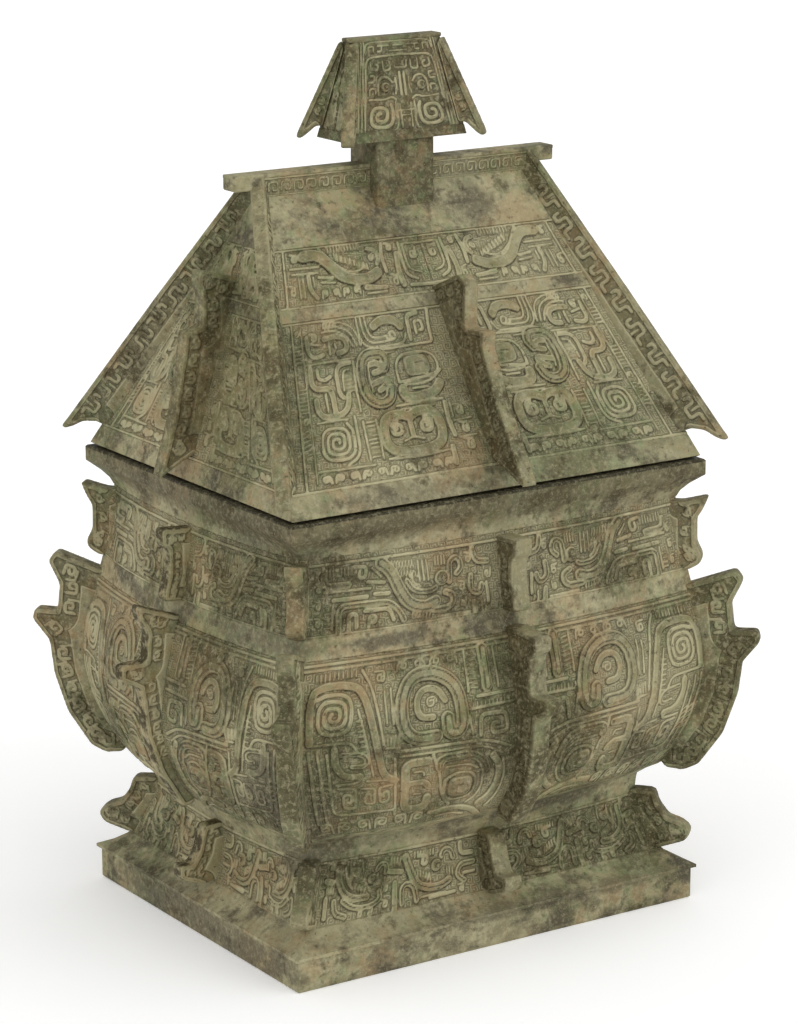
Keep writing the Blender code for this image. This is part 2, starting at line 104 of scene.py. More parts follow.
STRIP_DEPTH = 0.55          # depth of the sunk strip on a flange's faces
SHORT_FLANGE = 0.76         # thickness of the short walls' middle flanges against the long walls'
SHORT_SCROLL = 0.68         # size of the scrolls on them
# Sizes of the scrolls on the flanges of each zone.
SCROLLS = {"foot": 3.4, "belly": 5.6, "neck": 3.6, "hip": 5.6, "slope": 4.4, "knob": 2.8}

# The lid: height, half length and half width.
EAVES = (RIM_TOP + 0.3, 95.0, 78.0)
RIDGE_FOOT = (292.0, 62.7, 4.6)
RIDGE_TOP = 301.6
RIDGE_BAR = (74.2, 4.6, 6.0)    # half length, half width and height
RIDGE_EDGE = 1.5            # thickness of the plain edge along the top of the ridge
SEAT_RIM = (88.4, 4.0, 7.4)     # half length, thickness and depth under the eaves
CEILING = 285.0
ROOF_WALL = (4.2, 4.8)          # thickness of the slopes along the length and the width
STEM = (13.3, 9.7)
KNOB_BASE = (311.0, 26.8, 12.4)
KNOB_TOP = (350.0, 20.0, 3.0)

# Dark stains on the surface, and painted shade over the left face of the foot's base: the middle's place,
# the reach along each axis, and strength.
STAINS_AND_SHADE = (
    (-58, -84, 135, 24, 14, 3, 0.95),
    (-52, -84, 178, 36, 14, 4.5, 0.7),
    (-96, -50, 175, 12, 28, 6.5, 0.8),
    (-92, -66, 74, 20, 18, 30, 1.0),
    (-78, -58, 48, 18, 18, 9, 0.9),
    (0, -84, 5, 90, 8, 9, 0.55),
    (-40, -78, 188, 50, 10, 5, 0.5),
    (-92, -52, 136, 12, 32, 4.4, 0.7),
    (-92, 40, 135, 12, 22, 4, 0.6),
    (38, -74, 52, 34, 18, 5.5, 0.8),
    (-40, -74, 50, 26, 18, 4, 0.45),
    # Painted shade over the left face of the foot's base, with its smudges.
    (-96, -10, 6, 8, 80, 9, 0.85),
    (20, -80, 13, 70, 8, 3.6, 0.7),
    (31, -14, 284, 14, 9, 7, 0.8),
    (-38, -16, 281, 10, 8, 5, 0.6),
    (50, -90, 150, 26, 20, 30, 0.4),
    (30, 84, 136, 40, 14, 5, 0.8),
    (94, 10, 172, 12, 40, 6, 0.7),
    (60, 70, 215, 24, 20, 14, 0.5),
)
OCHRES = (
    (-17, -13, 287, 9, 9, 9, 0.8),
    (50, -14, 279, 12, 9, 12, 0.6),
    (-58, -34, 250, 10, 14, 22, 0.6),
    (-14, -70, 197, 20, 10, 12, 0.8),
    (-30, -84, 176, 24, 14, 5, 0.6),
    (-50, -100, 74, 38, 22, 17, 0.9),
    (-119, -3, 96, 9, 6, 42, 0.4),
    (40, -100, 84, 30, 22, 20, 0.5),
    (66, -88, 6, 44, 12, 9, 1.0),
    (-60, -88, 4, 30, 12, 7, 0.6),
    (-96, -76, 150, 8, 8, 12, 0.8),
    (-96, 30, 90, 16, 26, 20, 0.5),
    (-92, -4, 152, 14, 56, 14, 0.45),
    (-82, -6, 215, 30, 50, 34, 0.4),
    (-106, -26, 118, 14, 30, 16, 0.45),
    (0, 80, 60, 40, 20, 12, 0.6),
)


# ---- settings

def size(name, description, default, low=1.0, high=12.0):
    """A setting of the shape; lengths are in millimetres."""
    return bpy.props.FloatProperty(
        name=name, description=description, default=default, min=low, max=high)


class FangyiShape(bpy.types.PropertyGroup):
    """Sizes of the cast ornament."""
    relief: size("Relief", "Factor on the height of the raised bands", 1.0, 0.2, 2.0)
    spacing: size("Spacing", "Distance between points of a carved wall", 0.73, 0.4, 4.0)
    corner_flange: size("Corner flange", "Thickness of the flanges on the corners", 7.0)
    centre_flange: size("Centre flange", "Thickness of the flanges in the middle of the walls", 8.5)
    roof_flange: size("Roof flange", "Thickness of the flanges in the middle of the slopes", 6.5)
    hip_flange: size("Hip flange", "Thickness of the flanges on the lid's hips", 6.0)
    knob_flange: size("Knob flange", "Thickness of the flanges on the knob's hips", 5.0)
    flange_shift: size("Flange shift", "How far the lid's middle flanges stand off centre", 2.5, 0.0)


def tint(name, description, colour):
    """A colour setting of the patina."""
    return bpy.props.FloatVectorProperty(
        name=name, description=description, subtype="COLOR", size=3, min=0.0, max=1.0, default=colour)


class FangyiFinish(bpy.types.PropertyGroup):
    """Colours of the patina."""
    olive: tint("Olive", "Main colour of the patina", (0.172, 0.148, 0.062))
    # This colour also paints the shade on the flanges' flat faces.
    brown: tint("Brown", "Darker bronze that shows through", (0.056, 0.043, 0.017))
    haze: tint("Haze", "Pale grey-green bloom", (0.215, 0.212, 0.130))
    # This colour also paints the highlight along the bands' borders and on the flanges' rounded edges.
    dust: tint("Dust", "Pale earth on the raised edges", (0.450, 0.410, 0.250))
    # This colour also paints the shade under the raised bands and the shadow in the gap under the lid.
    dirt: tint("Dirt", "Dark dirt in the lines", (0.031, 0.026, 0.012))
    # This colour also paints the shade over the left face of the foot's base.
    soot: tint("Soot", "Dark stains", (0.074, 0.063, 0.040))
    malachite: tint("Malachite", "Green corrosion", (0.145, 0.225, 0.092))
    cuprite: tint("Cuprite", "Reddish brown corrosion", (0.310, 0.195, 0.090))
    floor: tint("Floor", "Colour of the floor", (0.95, 0.95, 0.95))


# ---- profiles

def smooth_at(table, column, height):
    """Read one column of a table with a smooth curve that never overshoots the rows."""
    x, y = table[:, 0], table[:, column]
    step = np.diff(x)
    rate = np.diff(y) / step
    product = rate[:-1] * rate[1:]
    total = np.where(product > 0.0, rate[:-1] + rate[1:], 1.0)
    inner = np.where(product > 0.0, 2.0 * product / total, 0.0)
    slope = np.concatenate([rate[:1], inner, rate[-1:]])
    row = np.clip(np.searchsorted(x, height) - 1, 0, len(x) - 2)
    s = np.clip((height - x[row]) / step[row], 0.0, 1.0)
    rise = (y[row + 1] - y[row]) * (3.0 - 2.0 * s) * s * s
    bend = step[row] * s * (1.0 - s) * (slope[row] * (1.0 - s) - slope[row + 1] * s)
    return y[row] + rise + bend


def body_size(height):
    """Half length, half width and bow of the body at each height."""
    half = smooth_at(BODY, 1, height)
    return half, half - SIDE_DIFFERENCE, smooth_at(BODY, 2, height)


def sloped(foot, head):
    """The same for a hipped roof with flat slopes, given at its foot and its head."""
    def size(height):
        part = (height - foot[0]) / (head[0] - foot[0])
        half_x = foot[1] + (head[1] - foot[1]) * part
        half_y = foot[2] + (head[2] - foot[2]) * part
        return half_x, half_y, 0.0 * part
    return size


roof_size = sloped(EAVES, RIDGE_FOOT)
knob_size = sloped(KNOB_BASE, KNOB_TOP)
ridge_size = sloped(RIDGE_FOOT, (RIDGE_TOP, *RIDGE_FOOT[1:]))


def wall_point(size_at, side, across, height):
    """Places on one wall; across runs from -1 at one corner to 1 at the other."""
    half_x, half_y, bow = size_at(height)
    span, depth = (half_x, half_y) if side in LONG_SIDES else (half_y, half_x)
    x = across * span
    y = -(depth + bow * (1.0 - across ** 2))
    for _ in range(TURNS[side]):
        x, y = -y, x
    return np.stack([x, y, height + 0.0 * x], -1)


def wall_normal(size_at, side, across, height):
    """Outward directions at the same places."""
    right, left, above, below = (
        wall_point(size_at, side, across + sideways, height + upward)
        for sideways, upward in ((0.01, 0.0), (-0.01, 0.0), (0.0, 0.2), (0.0, -0.2)))
    normal = np.cross(right - left, above - below)
    return normal / np.linalg.norm(normal, axis=1, keepdims=True)


# ---- flat drawing of the ornament

def rounded(points, radius, steps=5):
    """A path with its corners turned into arcs of at most this radius."""
    points = [Vector(point) for point in points]
    path = [points[0]]
    for before, corner, after in zip(points, points[1:], points[2:]):
        first = corner.lerp(before, min(0.5, radius / max((before - corner).length, 1e-6)))
        last = corner.lerp(after, min(0.5, radius / max((after - corner).length, 1e-6)))
        for i in range(steps + 1):
            share = i / steps
            path.append(first.lerp(corner, share).lerp(corner.lerp(last, share), share))
    return path + [points[-1]]


class Drawing:
    """Ornament on a flat sheet, held as distances in millimetres on a fine raster.

    The sheet is half a wall: u runs from the corner to the middle flange and v upwards.
    edge is the depth inside the raised bands and negative outside them, cut is the distance
    to the nearest cut line, dome is the extra rise of eyes, and bold is 1 in and beside broad
    bands and 0 at thin lines. Strokes are placed in thousandths of the sheet, with their
    widths and radii in millimetres, and a later stroke covers the lines of an earlier one.
    """

    def __init__(self, low, high, scale=(1.0, 1.0), step=0.25):
        self.low = Vector(low)
        self.scale = Vector(scale)
        self.step = step
        columns, rows = (int(ceil((high[axis] - low[axis]) / step)) + 1 for axis in (0, 1))
        self.x = low[0] + step * np.arange(columns)
        self.y = low[1] + step * np.arange(rows)
        self.edge = np.full((rows, columns), -FAR)
        self.cut = np.full((rows, columns), FAR)
        self.dome = np.zeros((rows, columns))
        self.bold = np.zeros((rows, columns))

    def window(self, path, margin):
        """Slices of the raster around a path, and its points in millimetres."""
        places = np.array(path)[:, :2]
        first = np.floor((places.min(0) - margin - self.low) / self.step).astype(int)
        last = np.ceil((places.max(0) + margin - self.low) / self.step).astype(int) + 1
        columns, rows = (slice(max(first[axis], 0), max(last[axis], 0)) for axis in (0, 1))
        x, y = np.meshgrid(self.x[columns], self.y[rows])
        return (rows, columns), x, y, places

    def distance(self, path, margin=FAR + 0.2):
        """Distance to a path inside a window around it."""
        where, x, y, places = self.window(path, margin)
        nearest = np.full(x.shape, 99.0)
        for start, end in zip(places, places[1:]):
            along = end - start
            length = max(float(along @ along), 1e-9)
            share = np.clip(((x - start[0]) * along[0] + (y - start[1]) * along[1]) / length, 0.0, 1.0)
            gap = np.hypot(x - start[0] - share * along[0], y - start[1] - share * along[1])
            nearest = np.minimum(nearest, gap)
        return where, nearest

    def placed(self, places):
        """Points in millimetres from a row of thousandths."""
        shares = [part / 1000.0 for part in places]
        return [(u * self.scale.x, v * self.scale.y) for u, v in zip(shares[::2], shares[1::2])]

    def stroke(self, points, width, radius=0.0, groove=None):
        """A raised band along points in millimetres; groove is the distance of a cut line."""
        where, gap = self.distance(rounded(points, radius), width / 2.0 + FAR + 0.2)
        if gap.size == 0:
            return
        inside = gap < width / 2.0 + 0.2
        line = FAR if groove is None else np.minimum(FAR, np.abs(gap - groove))
        self.cut[where] = np.where(inside, line, self.cut[where])
        self.edge[where] = np.maximum(self.edge[where], width / 2.0 - gap)
        weight = min(1.0, max(0.0, (width - 1.1) / 2.4))
        beside = gap < width / 2.0 + 1.0
        self.bold[where] = np.where(beside, np.maximum(self.bold[where], weight), self.bold[where])

    def band(self, width, radius, groove, *places):
        """A raised band with a line cut along it."""
        self.stroke(self.placed(places), width, radius, groove)

    def line(self, width, radius, *places):
        """A plain band or a thin raised line."""
        self.stroke(self.placed(places), width, radius)

    def bar(self, width, *places):
        """The same, straight."""
        self.stroke(self.placed(places), width)

    def borders(self, width, *levels):
        """Straight lines from end to end."""
        for level in levels:
            self.bar(width, -100, level, 1100, level)

    def groove(self, *places):
        """A straight line cut into whatever is there."""
        where, gap = self.distance(rounded(self.placed(places), 0.0))
        self.cut[where] = np.minimum(self.cut[where], gap)

    def curl(self, width, radius, u, v, wide, high, turns=1.25, start=1, flip=1):
        """A squared spiral that winds inwards round (u, v)."""
        corners = [(-0.5, -0.5), (-0.5, 0.5), (0.5, 0.5), (0.5, -0.5)]
        steps = int(round(turns * 4))
        places = []
        for step in range(steps + 1):
            shrink = 1.0 - step / (steps + 1.4)
            x, y = corners[(start + flip * step) % 4]
            places += [u + x * wide * shrink, v + y * high * shrink]
        self.line(width, radius, *places)

    def curls(self, width, radius, middles, v, wide, high, turns=1.25, flip=1):
        """Curls side by side, every other one mirrored."""
        for middle in middles:
            self.curl(width, radius, middle, v, wide, high, turns, 0 if flip > 0 else 3, flip)
            flip = -flip

    def coil(self, width, radius, u, v, wide, high, windings, start=0.0, flip=1):
        """A rounded-square spiral of even pitch that winds inwards round (u, v)."""
        steps = int(windings * 16)
        places = []
        for i in range(steps + 1):
            angle = start + flip * 2.0 * pi * i / 16.0
            reach = 1.0 - (1.0 - 0.35 / windings) * i / steps
            x, y = cos(angle), sin(angle)
            square = (abs(x) ** 3.4 + abs(y) ** 3.4) ** (-1.0 / 3.4)
            places += [u + x * square * reach * wide / 2.0, v + y * square * reach * high / 2.0]
        self.line(width, radius, *places)

    def comb(self, count, u, v, last_u, last_v, reach_u, reach_v, width=0.8):
        """Short parallel bars from (u, v) to the last place; reach is what each one covers."""
        for i in range(count):
            share = i / (count - 1)
            x, y = u + (last_u - u) * share, v + (last_v - v) * share
            self.bar(width, x, y, x + reach_u, y + reach_v)

    def sink(self, path, near, far, wall, clear):
        """Lower a strip that runs along a path, between two distances from it."""
        where, gap = self.distance([Vector(point) for point in path], 400.0)
        _, free = self.distance([Vector(point) for point in wall], 400.0)
        strip = np.maximum(near - gap, gap - far)
        self.edge[where] = np.minimum(self.edge[where], np.maximum(strip, clear - free))

    def boss(self, u, v, half_x, half_y, rise, squareness, *rings):
        """A domed eye with rings cut round it."""
        [centre] = self.placed((u, v))
        where, x, y, _ = self.window([centre, centre], max(half_x, half_y) + 3.0)
        radius = (np.abs((x - centre[0]) / half_x) ** squareness
                  + np.abs((y - centre[1]) / half_y) ** squareness) ** (1.0 / squareness)
        small = min(half_x, half_y)
        cut = np.full(radius.shape, FAR)
        for ring in rings:
            cut = np.minimum(cut, np.abs(radius - ring) * small)
        self.cut[where] = np.where(radius < 1.08, cut, self.cut[where])
        self.edge[where] = np.maximum(self.edge[where], (1.0 - radius) * small)
        self.dome[where] = np.maximum(self.dome[where], rise * np.clip(1.0 - radius ** 2, 0.0, 1.0))
        self.bold[where] = np.where(radius < 1.3, 1.0, self.bold[where])

    def at(self, x, y):
        """edge, cut, dome, bold and tilt at flat places; tilt is 1 on borders that face up."""
        column = np.clip((x - self.low.x) / self.step, 0, len(self.x) - 1.001)
        row = np.clip((y - self.low.y) / self.step, 0, len(self.y) - 1.001)
        i, j = row.astype(int), column.astype(int)
        a, b = row - i, column - j
        tilt = np.clip(-np.gradient(self.edge, self.step, axis=0), -1.0, 1.0)
        found = []
        for field in (self.edge, self.cut, self.dome, self.bold, tilt):
            low = field[i, j] * (1.0 - b) + field[i, j + 1] * b
            high = field[i + 1, j] * (1.0 - b) + field[i + 1, j + 1] * b
            found.append(low * (1.0 - a) + high * a)
        return found


def draw_belly(pen):
    """Half of the large beast mask, with an upright dragon at the corner."""
    for width, level in ((1.3, -10), (1.2, 955), (0.9, 930)):
        pen.borders(width, level)
    # Dragon at the corner: a coiled head under a combed crest, a long neck and hooked feet.
    pen.coil(1.65, 1, 117, 700, 195, 220, 3.1, 0.75 * pi, -1)
    pen.line(3.1, 8, 5, 580, 5, 800, 40, 850, 225, 845, 275, 760, 305, 620, 330, 460, 345, 355, 405, 320)
    pen.line(1.2, 9, 255, 905, 300, 830, 335, 680, 355, 520)
    pen.comb(10, 30, 875, 225, 880, 0, 33)
    pen.line(1.1, 8, 235, 720, 260, 620, 285, 460, 300, 360)
    pen.comb(7, 225, 660, 250, 500, 32, 0, 0.9)
    pen.line(1.2, 4, 20, 565, 200, 560, 230, 500)
    pen.line(3, 4, 120, 530, 122, 430, 165, 375, 235, 370)
    pen.band(2.2, 3, 0, 155, 500, 250, 490, 275, 450, 255, 420, 200, 430)
    pen.line(1.5, 4, 0, 530, 10, 400, 12, 100)
    pen.line(1.3, 4, 40, 530, 52, 400, 55, 120)
    pen.line(1.3, 4, 85, 510, 92, 380, 95, 145, 410, 135)
    pen.comb(5, 22, 360, 24, 240, 22, -14)
    pen.comb(5, 62, 360, 64, 240, 24, -14)
    pen.bar(1.3, 405, 440, 407, 100)
    pen.line(1.2, 4, 120, 335, 235, 330, 235, 385)
    pen.curl(1.35, 1.6, 175, 235, 85, 150, 1.75)
    pen.curl(1.25, 1.4, 275, 235, 70, 120, 1.5)
    pen.curl(1.25, 1.4, 355, 235, 70, 120, 1.5, 2, -1)
    pen.bar(1.1, 265, 335, 380, 325)
    pen.comb(5, 370, 570, 430, 565, 4, -55)
    pen.bar(1, 365, 500, 430, 495)
    pen.curl(1, 1, 345, 860, 55, 60, 1.5)
    pen.bar(1, 365, 790, 375, 620)
    pen.bar(1, 395, 800, 405, 620)
    # Horn: a wide C round a smaller one.
    pen.band(5.8, 8, 1.5, 610, 525, 500, 525, 445, 600, 445, 750, 500, 845, 620, 850, 720, 780, 750, 660,
             745, 530, 675, 525, 672, 610)
    pen.line(2.8, 4, 600, 625, 535, 630, 515, 710, 550, 775, 630, 765, 665, 700)
    pen.coil(0.9, 0.6, 595, 700, 55, 60, 1.4)
    pen.curls(1, 1, range(460, 800, 85), 895, 60, 45)
    pen.bar(1.1, 785, 920, 790, 720)
    pen.comb(8, 800, 900, 805, 740, 35, -8)
    # Quill beside the middle flange, and the scrolls below it.
    pen.band(5, 4, 1.2, 882, 920, 888, 735)
    pen.bar(1.1, 945, 920, 950, 720)
    pen.bar(1.5, 835, 690, 1030, 690)
    pen.bar(1.2, 800, 630, 1030, 635)
    pen.comb(11, 790, 660, 1000, 662, 0, -18, 0.7)
    pen.line(1.9, 2.2, 840, 490, 845, 595, 975, 590, 985, 490, 900, 485, 900, 540, 935, 540)
    pen.bar(1.2, 785, 600, 800, 500)
    # Forehead lines, ear, brow and eye.
    pen.line(1.5, 9, 415, 475, 800, 466, 900, 450, 1000, 400)
    pen.line(1.1, 9, 430, 445, 800, 437, 880, 420, 960, 370)
    pen.line(3.8, 3, 565, 400, 455, 400, 452, 130, 560, 125, 572, 185)
    pen.line(3, 2, 475, 285, 550, 285, 572, 255)
    pen.line(1, 0.8, 500, 345, 545, 345, 550, 320)
    pen.bar(1, 500, 215, 535, 210)
    pen.line(1.4, 6, 595, 430, 605, 370, 632, 310, 640, 220, 665, 150, 700, 115)
    pen.band(4, 5, 0.8, 625, 355, 625, 402, 800, 398, 855, 350, 875, 290)
    pen.line(1.2, 4, 660, 345, 780, 345, 830, 310)
    pen.line(1.3, 4, 660, 270, 660, 175, 700, 140, 790, 140, 830, 180, 828, 260, 785, 302, 700, 302,
             660, 265)
    pen.line(1.2, 5, 860, 270, 870, 190, 840, 130, 800, 105)
    pen.boss(742, 222, 5.6, 4.6, 1.3, 3.2, 0.5)
    # Snout, jaw and the row of scrolls under the mask.
    pen.line(3, 7, 905, 370, 945, 310, 955, 220, 925, 130, 870, 90)
    pen.line(1.3, 7, 965, 340, 990, 240, 975, 120, 930, 50)
    pen.line(2.8, 8, 600, 75, 730, 92, 850, 55, 920, -10)
    pen.line(1.2, 4, 640, 35, 730, 48, 810, 20)
    pen.curls(1.2, 1.3, range(45, 600, 98), 62, 70, 75, 1.5, -1)


def draw_neck(pen):
    """A long-trunked dragon that faces the middle flange."""
    pen.borders(1.2, -30, 970)
    pen.band(5, 12, 1.35, 355, 900, 410, 780, 455, 500, 510, 260, 600, 190, 655, 250)
    pen.band(2.2, 6, 0, 500, 600, 540, 430, 630, 400, 660, 440)
    pen.band(2.5, 3, 0, 130, -40, 130, 360, 400, 350, 455, 200, 480, 60)
    pen.line(1.8, 1.6, 185, -20, 185, 240, 225, 240, 225, 50)
    pen.line(1.8, 2, 270, 260, 400, 250, 425, 80)
    pen.curl(1.5, 1.2, 315, 110, 50, 160, 1, 0)
    pen.band(2.8, 2.5, 0, 45, 800, 55, 660, 180, 655)
    pen.bar(1.2, 50, 580, 300, 565)
    pen.bar(1.6, 285, 655, 375, 620)
    pen.bar(1.8, 100, 460, 280, 455)
    pen.bar(1.8, 325, 475, 400, 460)
    pen.curl(1.6, 1.5, 250, 780, 70, 220, 1.1)
    pen.boss(695, 570, 3, 3, 0.8, 2, 0.35, 0.68)
    pen.band(2.5, 3, 0, 742, 500, 745, 800, 800, 830, 818, 680, 785, 600)
    pen.band(2.8, 4, 0, 645, 130, 745, 130, 765, 300, 715, 360)
    pen.band(2.6, 3, 0, 865, 530, 855, 330, 910, 250, 925, 380)
    pen.bar(1.6, 955, 400, 960, 120)
    pen.bar(2.4, 875, 150, 885, -20)
    pen.band(2.6, 2.5, 0, 885, 900, 900, 720, 970, 700)
    for u in (575, 600, 625):
        pen.bar(0.9, u - 10, 860, u, 560)
    pen.line(1.1, 4, 525, 660, 540, 540, 575, 490)
    pen.comb(8, 400, 900, 530, 880, 12, -110)
    pen.comb(6, 445, 760, 545, 720, 12, -90)
    pen.comb(8, 60, 900, 200, 900, 0, -120)
    for level in (160, 400, 640):
        pen.curl(0.9, 0.8, 20, level, 32, 150)
    pen.bar(1, 100, 385, 95, 50)
    pen.comb(4, 55, 280, 55, 80, 28, 0)
    pen.bar(1, 310, 840, 360, 700)
    pen.comb(6, 525, 60, 620, 30, 4, 70)
    pen.bar(1.2, 670, 30, 850, 20)
    pen.curl(0.9, 0.8, 810, 400, 40, 160)
    pen.curl(0.9, 0.8, 815, 170, 35, 130, 1.25, 2)
    pen.comb(4, 665, 880, 720, 880, 0, -130)
    pen.curl(0.9, 0.8, 855, 780, 35, 170)
    pen.curl(0.9, 0.8, 965, 530, 40, 150, 1.25, 2)
    pen.bar(1, 920, 140, 925, 0)


def draw_foot(pen):
    """Two small birds that look to the middle flange."""
    pen.borders(1.1, -30, 1000)
    pen.band(3, 8, 0, 85, 860, 100, 600, 145, 420, 215, 330, 285, 330)
    pen.line(1.2, 4, 135, 860, 150, 640, 190, 500)
    pen.band(2.3, 5, 0, 130, 340, 200, 180, 300, 160, 375, 240, 365, 380)
    pen.boss(315, 600, 2.1, 2.1, 0.7, 2, 0.5)
    pen.band(2.2, 3, 0, 345, 740, 375, 840, 415, 780, 405, 660)
    pen.curl(1.6, 1.5, 210, 740, 70, 200, 1, 0)
    pen.band(2.4, 3, 0, 75, 360, 80, 160, 150, 80)
    pen.bar(2.4, 15, 700, 55, 660)
    pen.bar(2, 20, 420, 20, 120)
    pen.bar(2.4, 467, 460, 467, -20)
    pen.bar(2.4, 435, 660, 510, 620)
    pen.band(3.3, 9, 0, 535, 860, 570, 600, 610, 360, 690, 250, 770, 250, 825, 320)
    pen.band(2.2, 3, 0, 515, 80, 510, 360, 555, 420, 600, 300, 610, 80)
    pen.boss(745, 610, 2.5, 2.5, 0.8, 2, 0.45)
    pen.band(2.4, 3, 0, 785, 740, 800, 860, 850, 840, 865, 680)
    pen.curl(1.6, 1.5, 665, 720, 60, 200, 1)
    pen.band(2.4, 3, 0, 1000, 540, 900, 540, 880, 360, 930, 250)
    pen.bar(1.5, 930, 380, 1000, 380)
    pen.line(2.2, 2, 920, 900, 920, 720, 1000, 700)
    pen.bar(1.6, 700, 80, 860, 100)
    pen.bar(0.9, 635, 120, 800, 130)
    for middle in (165, 245):
        pen.bar(0.9, middle, 930, middle + 12, 720)
    pen.comb(5, 200, 600, 275, 500, 12, -120)
    pen.comb(5, 615, 620, 700, 500, 8, -130)
    pen.comb(7, 600, 900, 730, 900, 0, -100)
    for u, v in ((245, 70), (310, 60), (405, 140), (405, 400), (45, 900), (905, 120)):
        pen.curl(0.9, 0.8, u, v, 40, 150)
    pen.comb(3, 25, 600, 65, 580, 0, -100)
    pen.comb(3, 820, 560, 855, 540, 0, -140)
    pen.comb(4, 440, 900, 500, 880, 0, -140)


def draw_roof(pen):
    """Half of the beast mask on the lid's slope, its brow downwards."""
    pen.borders(1.2, -15, 1000)
    pen.bar(1, 0, -50, 0, 1050)
    pen.bar(0.8, 62, 30, 62, 970)
    pen.comb(5, 15, 860, 15, 760, 33, 0)
    pen.comb(7, 15, 600, 15, 460, 33, 0)
    pen.comb(6, 12, 340, 12, 200, 36, 12)
    pen.coil(0.8, 0.5, 34, 930, 35, 50, 1.2)
    pen.coil(0.8, 0.5, 34, 400, 38, 50, 1.2)
    # Ear: a thick C with two lobed arms.
    pen.band(4.4, 6, 1.25, 575, 665, 600, 715, 565, 765, 440, 755, 413, 620, 430, 500, 490, 445, 570, 460,
             592, 530)
    pen.line(2.6, 2, 490, 695, 545, 700, 560, 650, 505, 640)
    pen.line(2.6, 2, 485, 575, 575, 600, 585, 565, 520, 530)
    pen.line(0.9, 4, 475, 690, 468, 580, 480, 525)
    # Eye in its lid, the bar under it and two lines.
    pen.line(1.3, 5, 655, 565, 655, 670, 700, 728, 800, 738, 895, 727, 935, 680, 932, 615, 900, 585,
             750, 568, 655, 563)
    pen.boss(792, 652, 5.9, 4.2, 1.1, 3.6)
    pen.groove(765, 655, 825, 660)
    pen.line(1.1, 6, 685, 545, 790, 538, 870, 553, 945, 610)
    pen.line(4.2, 4, 665, 515, 668, 462, 760, 455, 860, 475, 905, 525)
    pen.bar(1, 730, 515, 830, 515)
    pen.bar(1, 600, 422, 900, 430)
    pen.bar(0.9, 620, 397, 840, 402)
    pen.bar(1.1, 600, 775, 945, 785)
    pen.bar(0.8, 600, 752, 670, 755)
    # Paired curls in one rounded frame.
    pen.line(4, 6, 648, 352, 600, 372, 520, 365, 487, 305, 487, 200, 530, 147, 660, 135, 790, 150, 832, 205,
             835, 320, 790, 375, 710, 375, 664, 352)
    pen.bar(2.2, 656, 335, 656, 235)
    pen.line(1.1, 4, 600, 205, 656, 225, 720, 205)
    pen.coil(1.7, 1, 575, 285, 85, 95, 1.35, 0.5 * pi)
    pen.coil(1.7, 1, 745, 285, 85, 95, 1.35, 0.5 * pi, -1)
    pen.line(1, 6, 485, 112, 660, 98, 840, 115)
    # Horn: three lines round a smooth lobe and a small ring.
    for inward in (0, 30, 60):
        pen.line(1.05, 5, 462 + inward, 985, 462 + inward, 860 + inward, 505 + 0.6 * inward, 795 + inward,
                 600, 792 + inward, 700 - inward, 795 + inward)
    pen.line(1.05, 3, 700, 795, 765, 805, 785, 860)
    pen.line(3.8, 5, 570, 925, 620, 955, 720, 952, 757, 905)
    pen.coil(1.1, 0.6, 685, 858, 75, 70, 1.3, pi)
    pen.line(2, 2, 808, 815, 822, 965, 900, 975)
    pen.line(1.5, 1.2, 860, 850, 865, 925, 915, 925, 915, 865, 890, 865)
    # Dragon by the hip: plume, neck, feet and a coiled tail.
    for lift in (0, 28, 56):
        pen.line(1, 6, 205 + 0.5 * lift, 925 + lift, 300, 932 + lift, 375 + lift, 890 + lift,
                 405 + lift, 820)
    pen.comb(6, 220, 975, 300, 985, 12, -35)
    pen.line(2.4, 4, 215, 885, 300, 895, 360, 870, 365, 800, 300, 790)
    pen.bar(1.4, 245, 855, 245, 790)
    pen.bar(1.2, 285, 850, 290, 820)
    pen.line(2, 3, 95, 905, 100, 800, 140, 775, 195, 790)
    pen.curl(1.1, 1, 145, 900, 55, 50)
    pen.bar(1, 120, 865, 190, 850)
    pen.bar(1, 80, 742, 400, 748)
    pen.line(2.4, 4, 95, 715, 93, 615, 130, 582, 215, 590, 222, 430)
    pen.line(1.6, 2, 140, 705, 142, 645, 185, 635, 220, 655)
    pen.bar(1.1, 175, 550, 178, 450)
    pen.line(1.9, 3, 360, 722, 300, 722, 262, 690, 262, 545, 285, 515)
    pen.line(1, 4, 350, 685, 300, 680, 298, 560)
    pen.comb(5, 318, 650, 318, 555, 35, 0)
    pen.line(1.1, 4, 385, 730, 372, 600, 375, 420)
    pen.line(2.5, 5, 112, 520, 115, 445, 160, 408, 255, 415, 305, 455, 318, 530)
    pen.line(1.2, 4, 330, 400, 335, 200, 310, 145, 250, 115)
    pen.coil(1.35, 1, 205, 255, 215, 235, 3.2, 0.3 * pi, -1)
    pen.bar(1, 100, 385, 290, 388)
    pen.bar(1, 375, 360, 380, 120)
    pen.comb(9, 395, 350, 395, 140, 45, 0, 0.9)
    pen.bar(0.9, 455, 360, 458, 120)
    # Feathers and small boxes beside the middle flange, and the lowest row.
    pen.line(1.6, 6, 985, 990, 955, 880, 950, 800)
    pen.line(2.2, 6, 900, 400, 888, 290, 900, 200)
    pen.bar(1, 930, 400, 925, 310)
    for level in (345, 235, 130):
        pen.curl(1, 1, 975, level, 55, 75, 1.5)
    pen.bar(0.9, 920, 285, 1030, 290)
    pen.bar(0.9, 925, 180, 1030, 182)
    pen.bar(2.2, 865, 130, 860, 30)
    pen.bar(1, 80, 98, 400, 92)
    pen.curls(1.1, 1, range(115, 900, 79), 45, 55, 50, 1.25, -1)


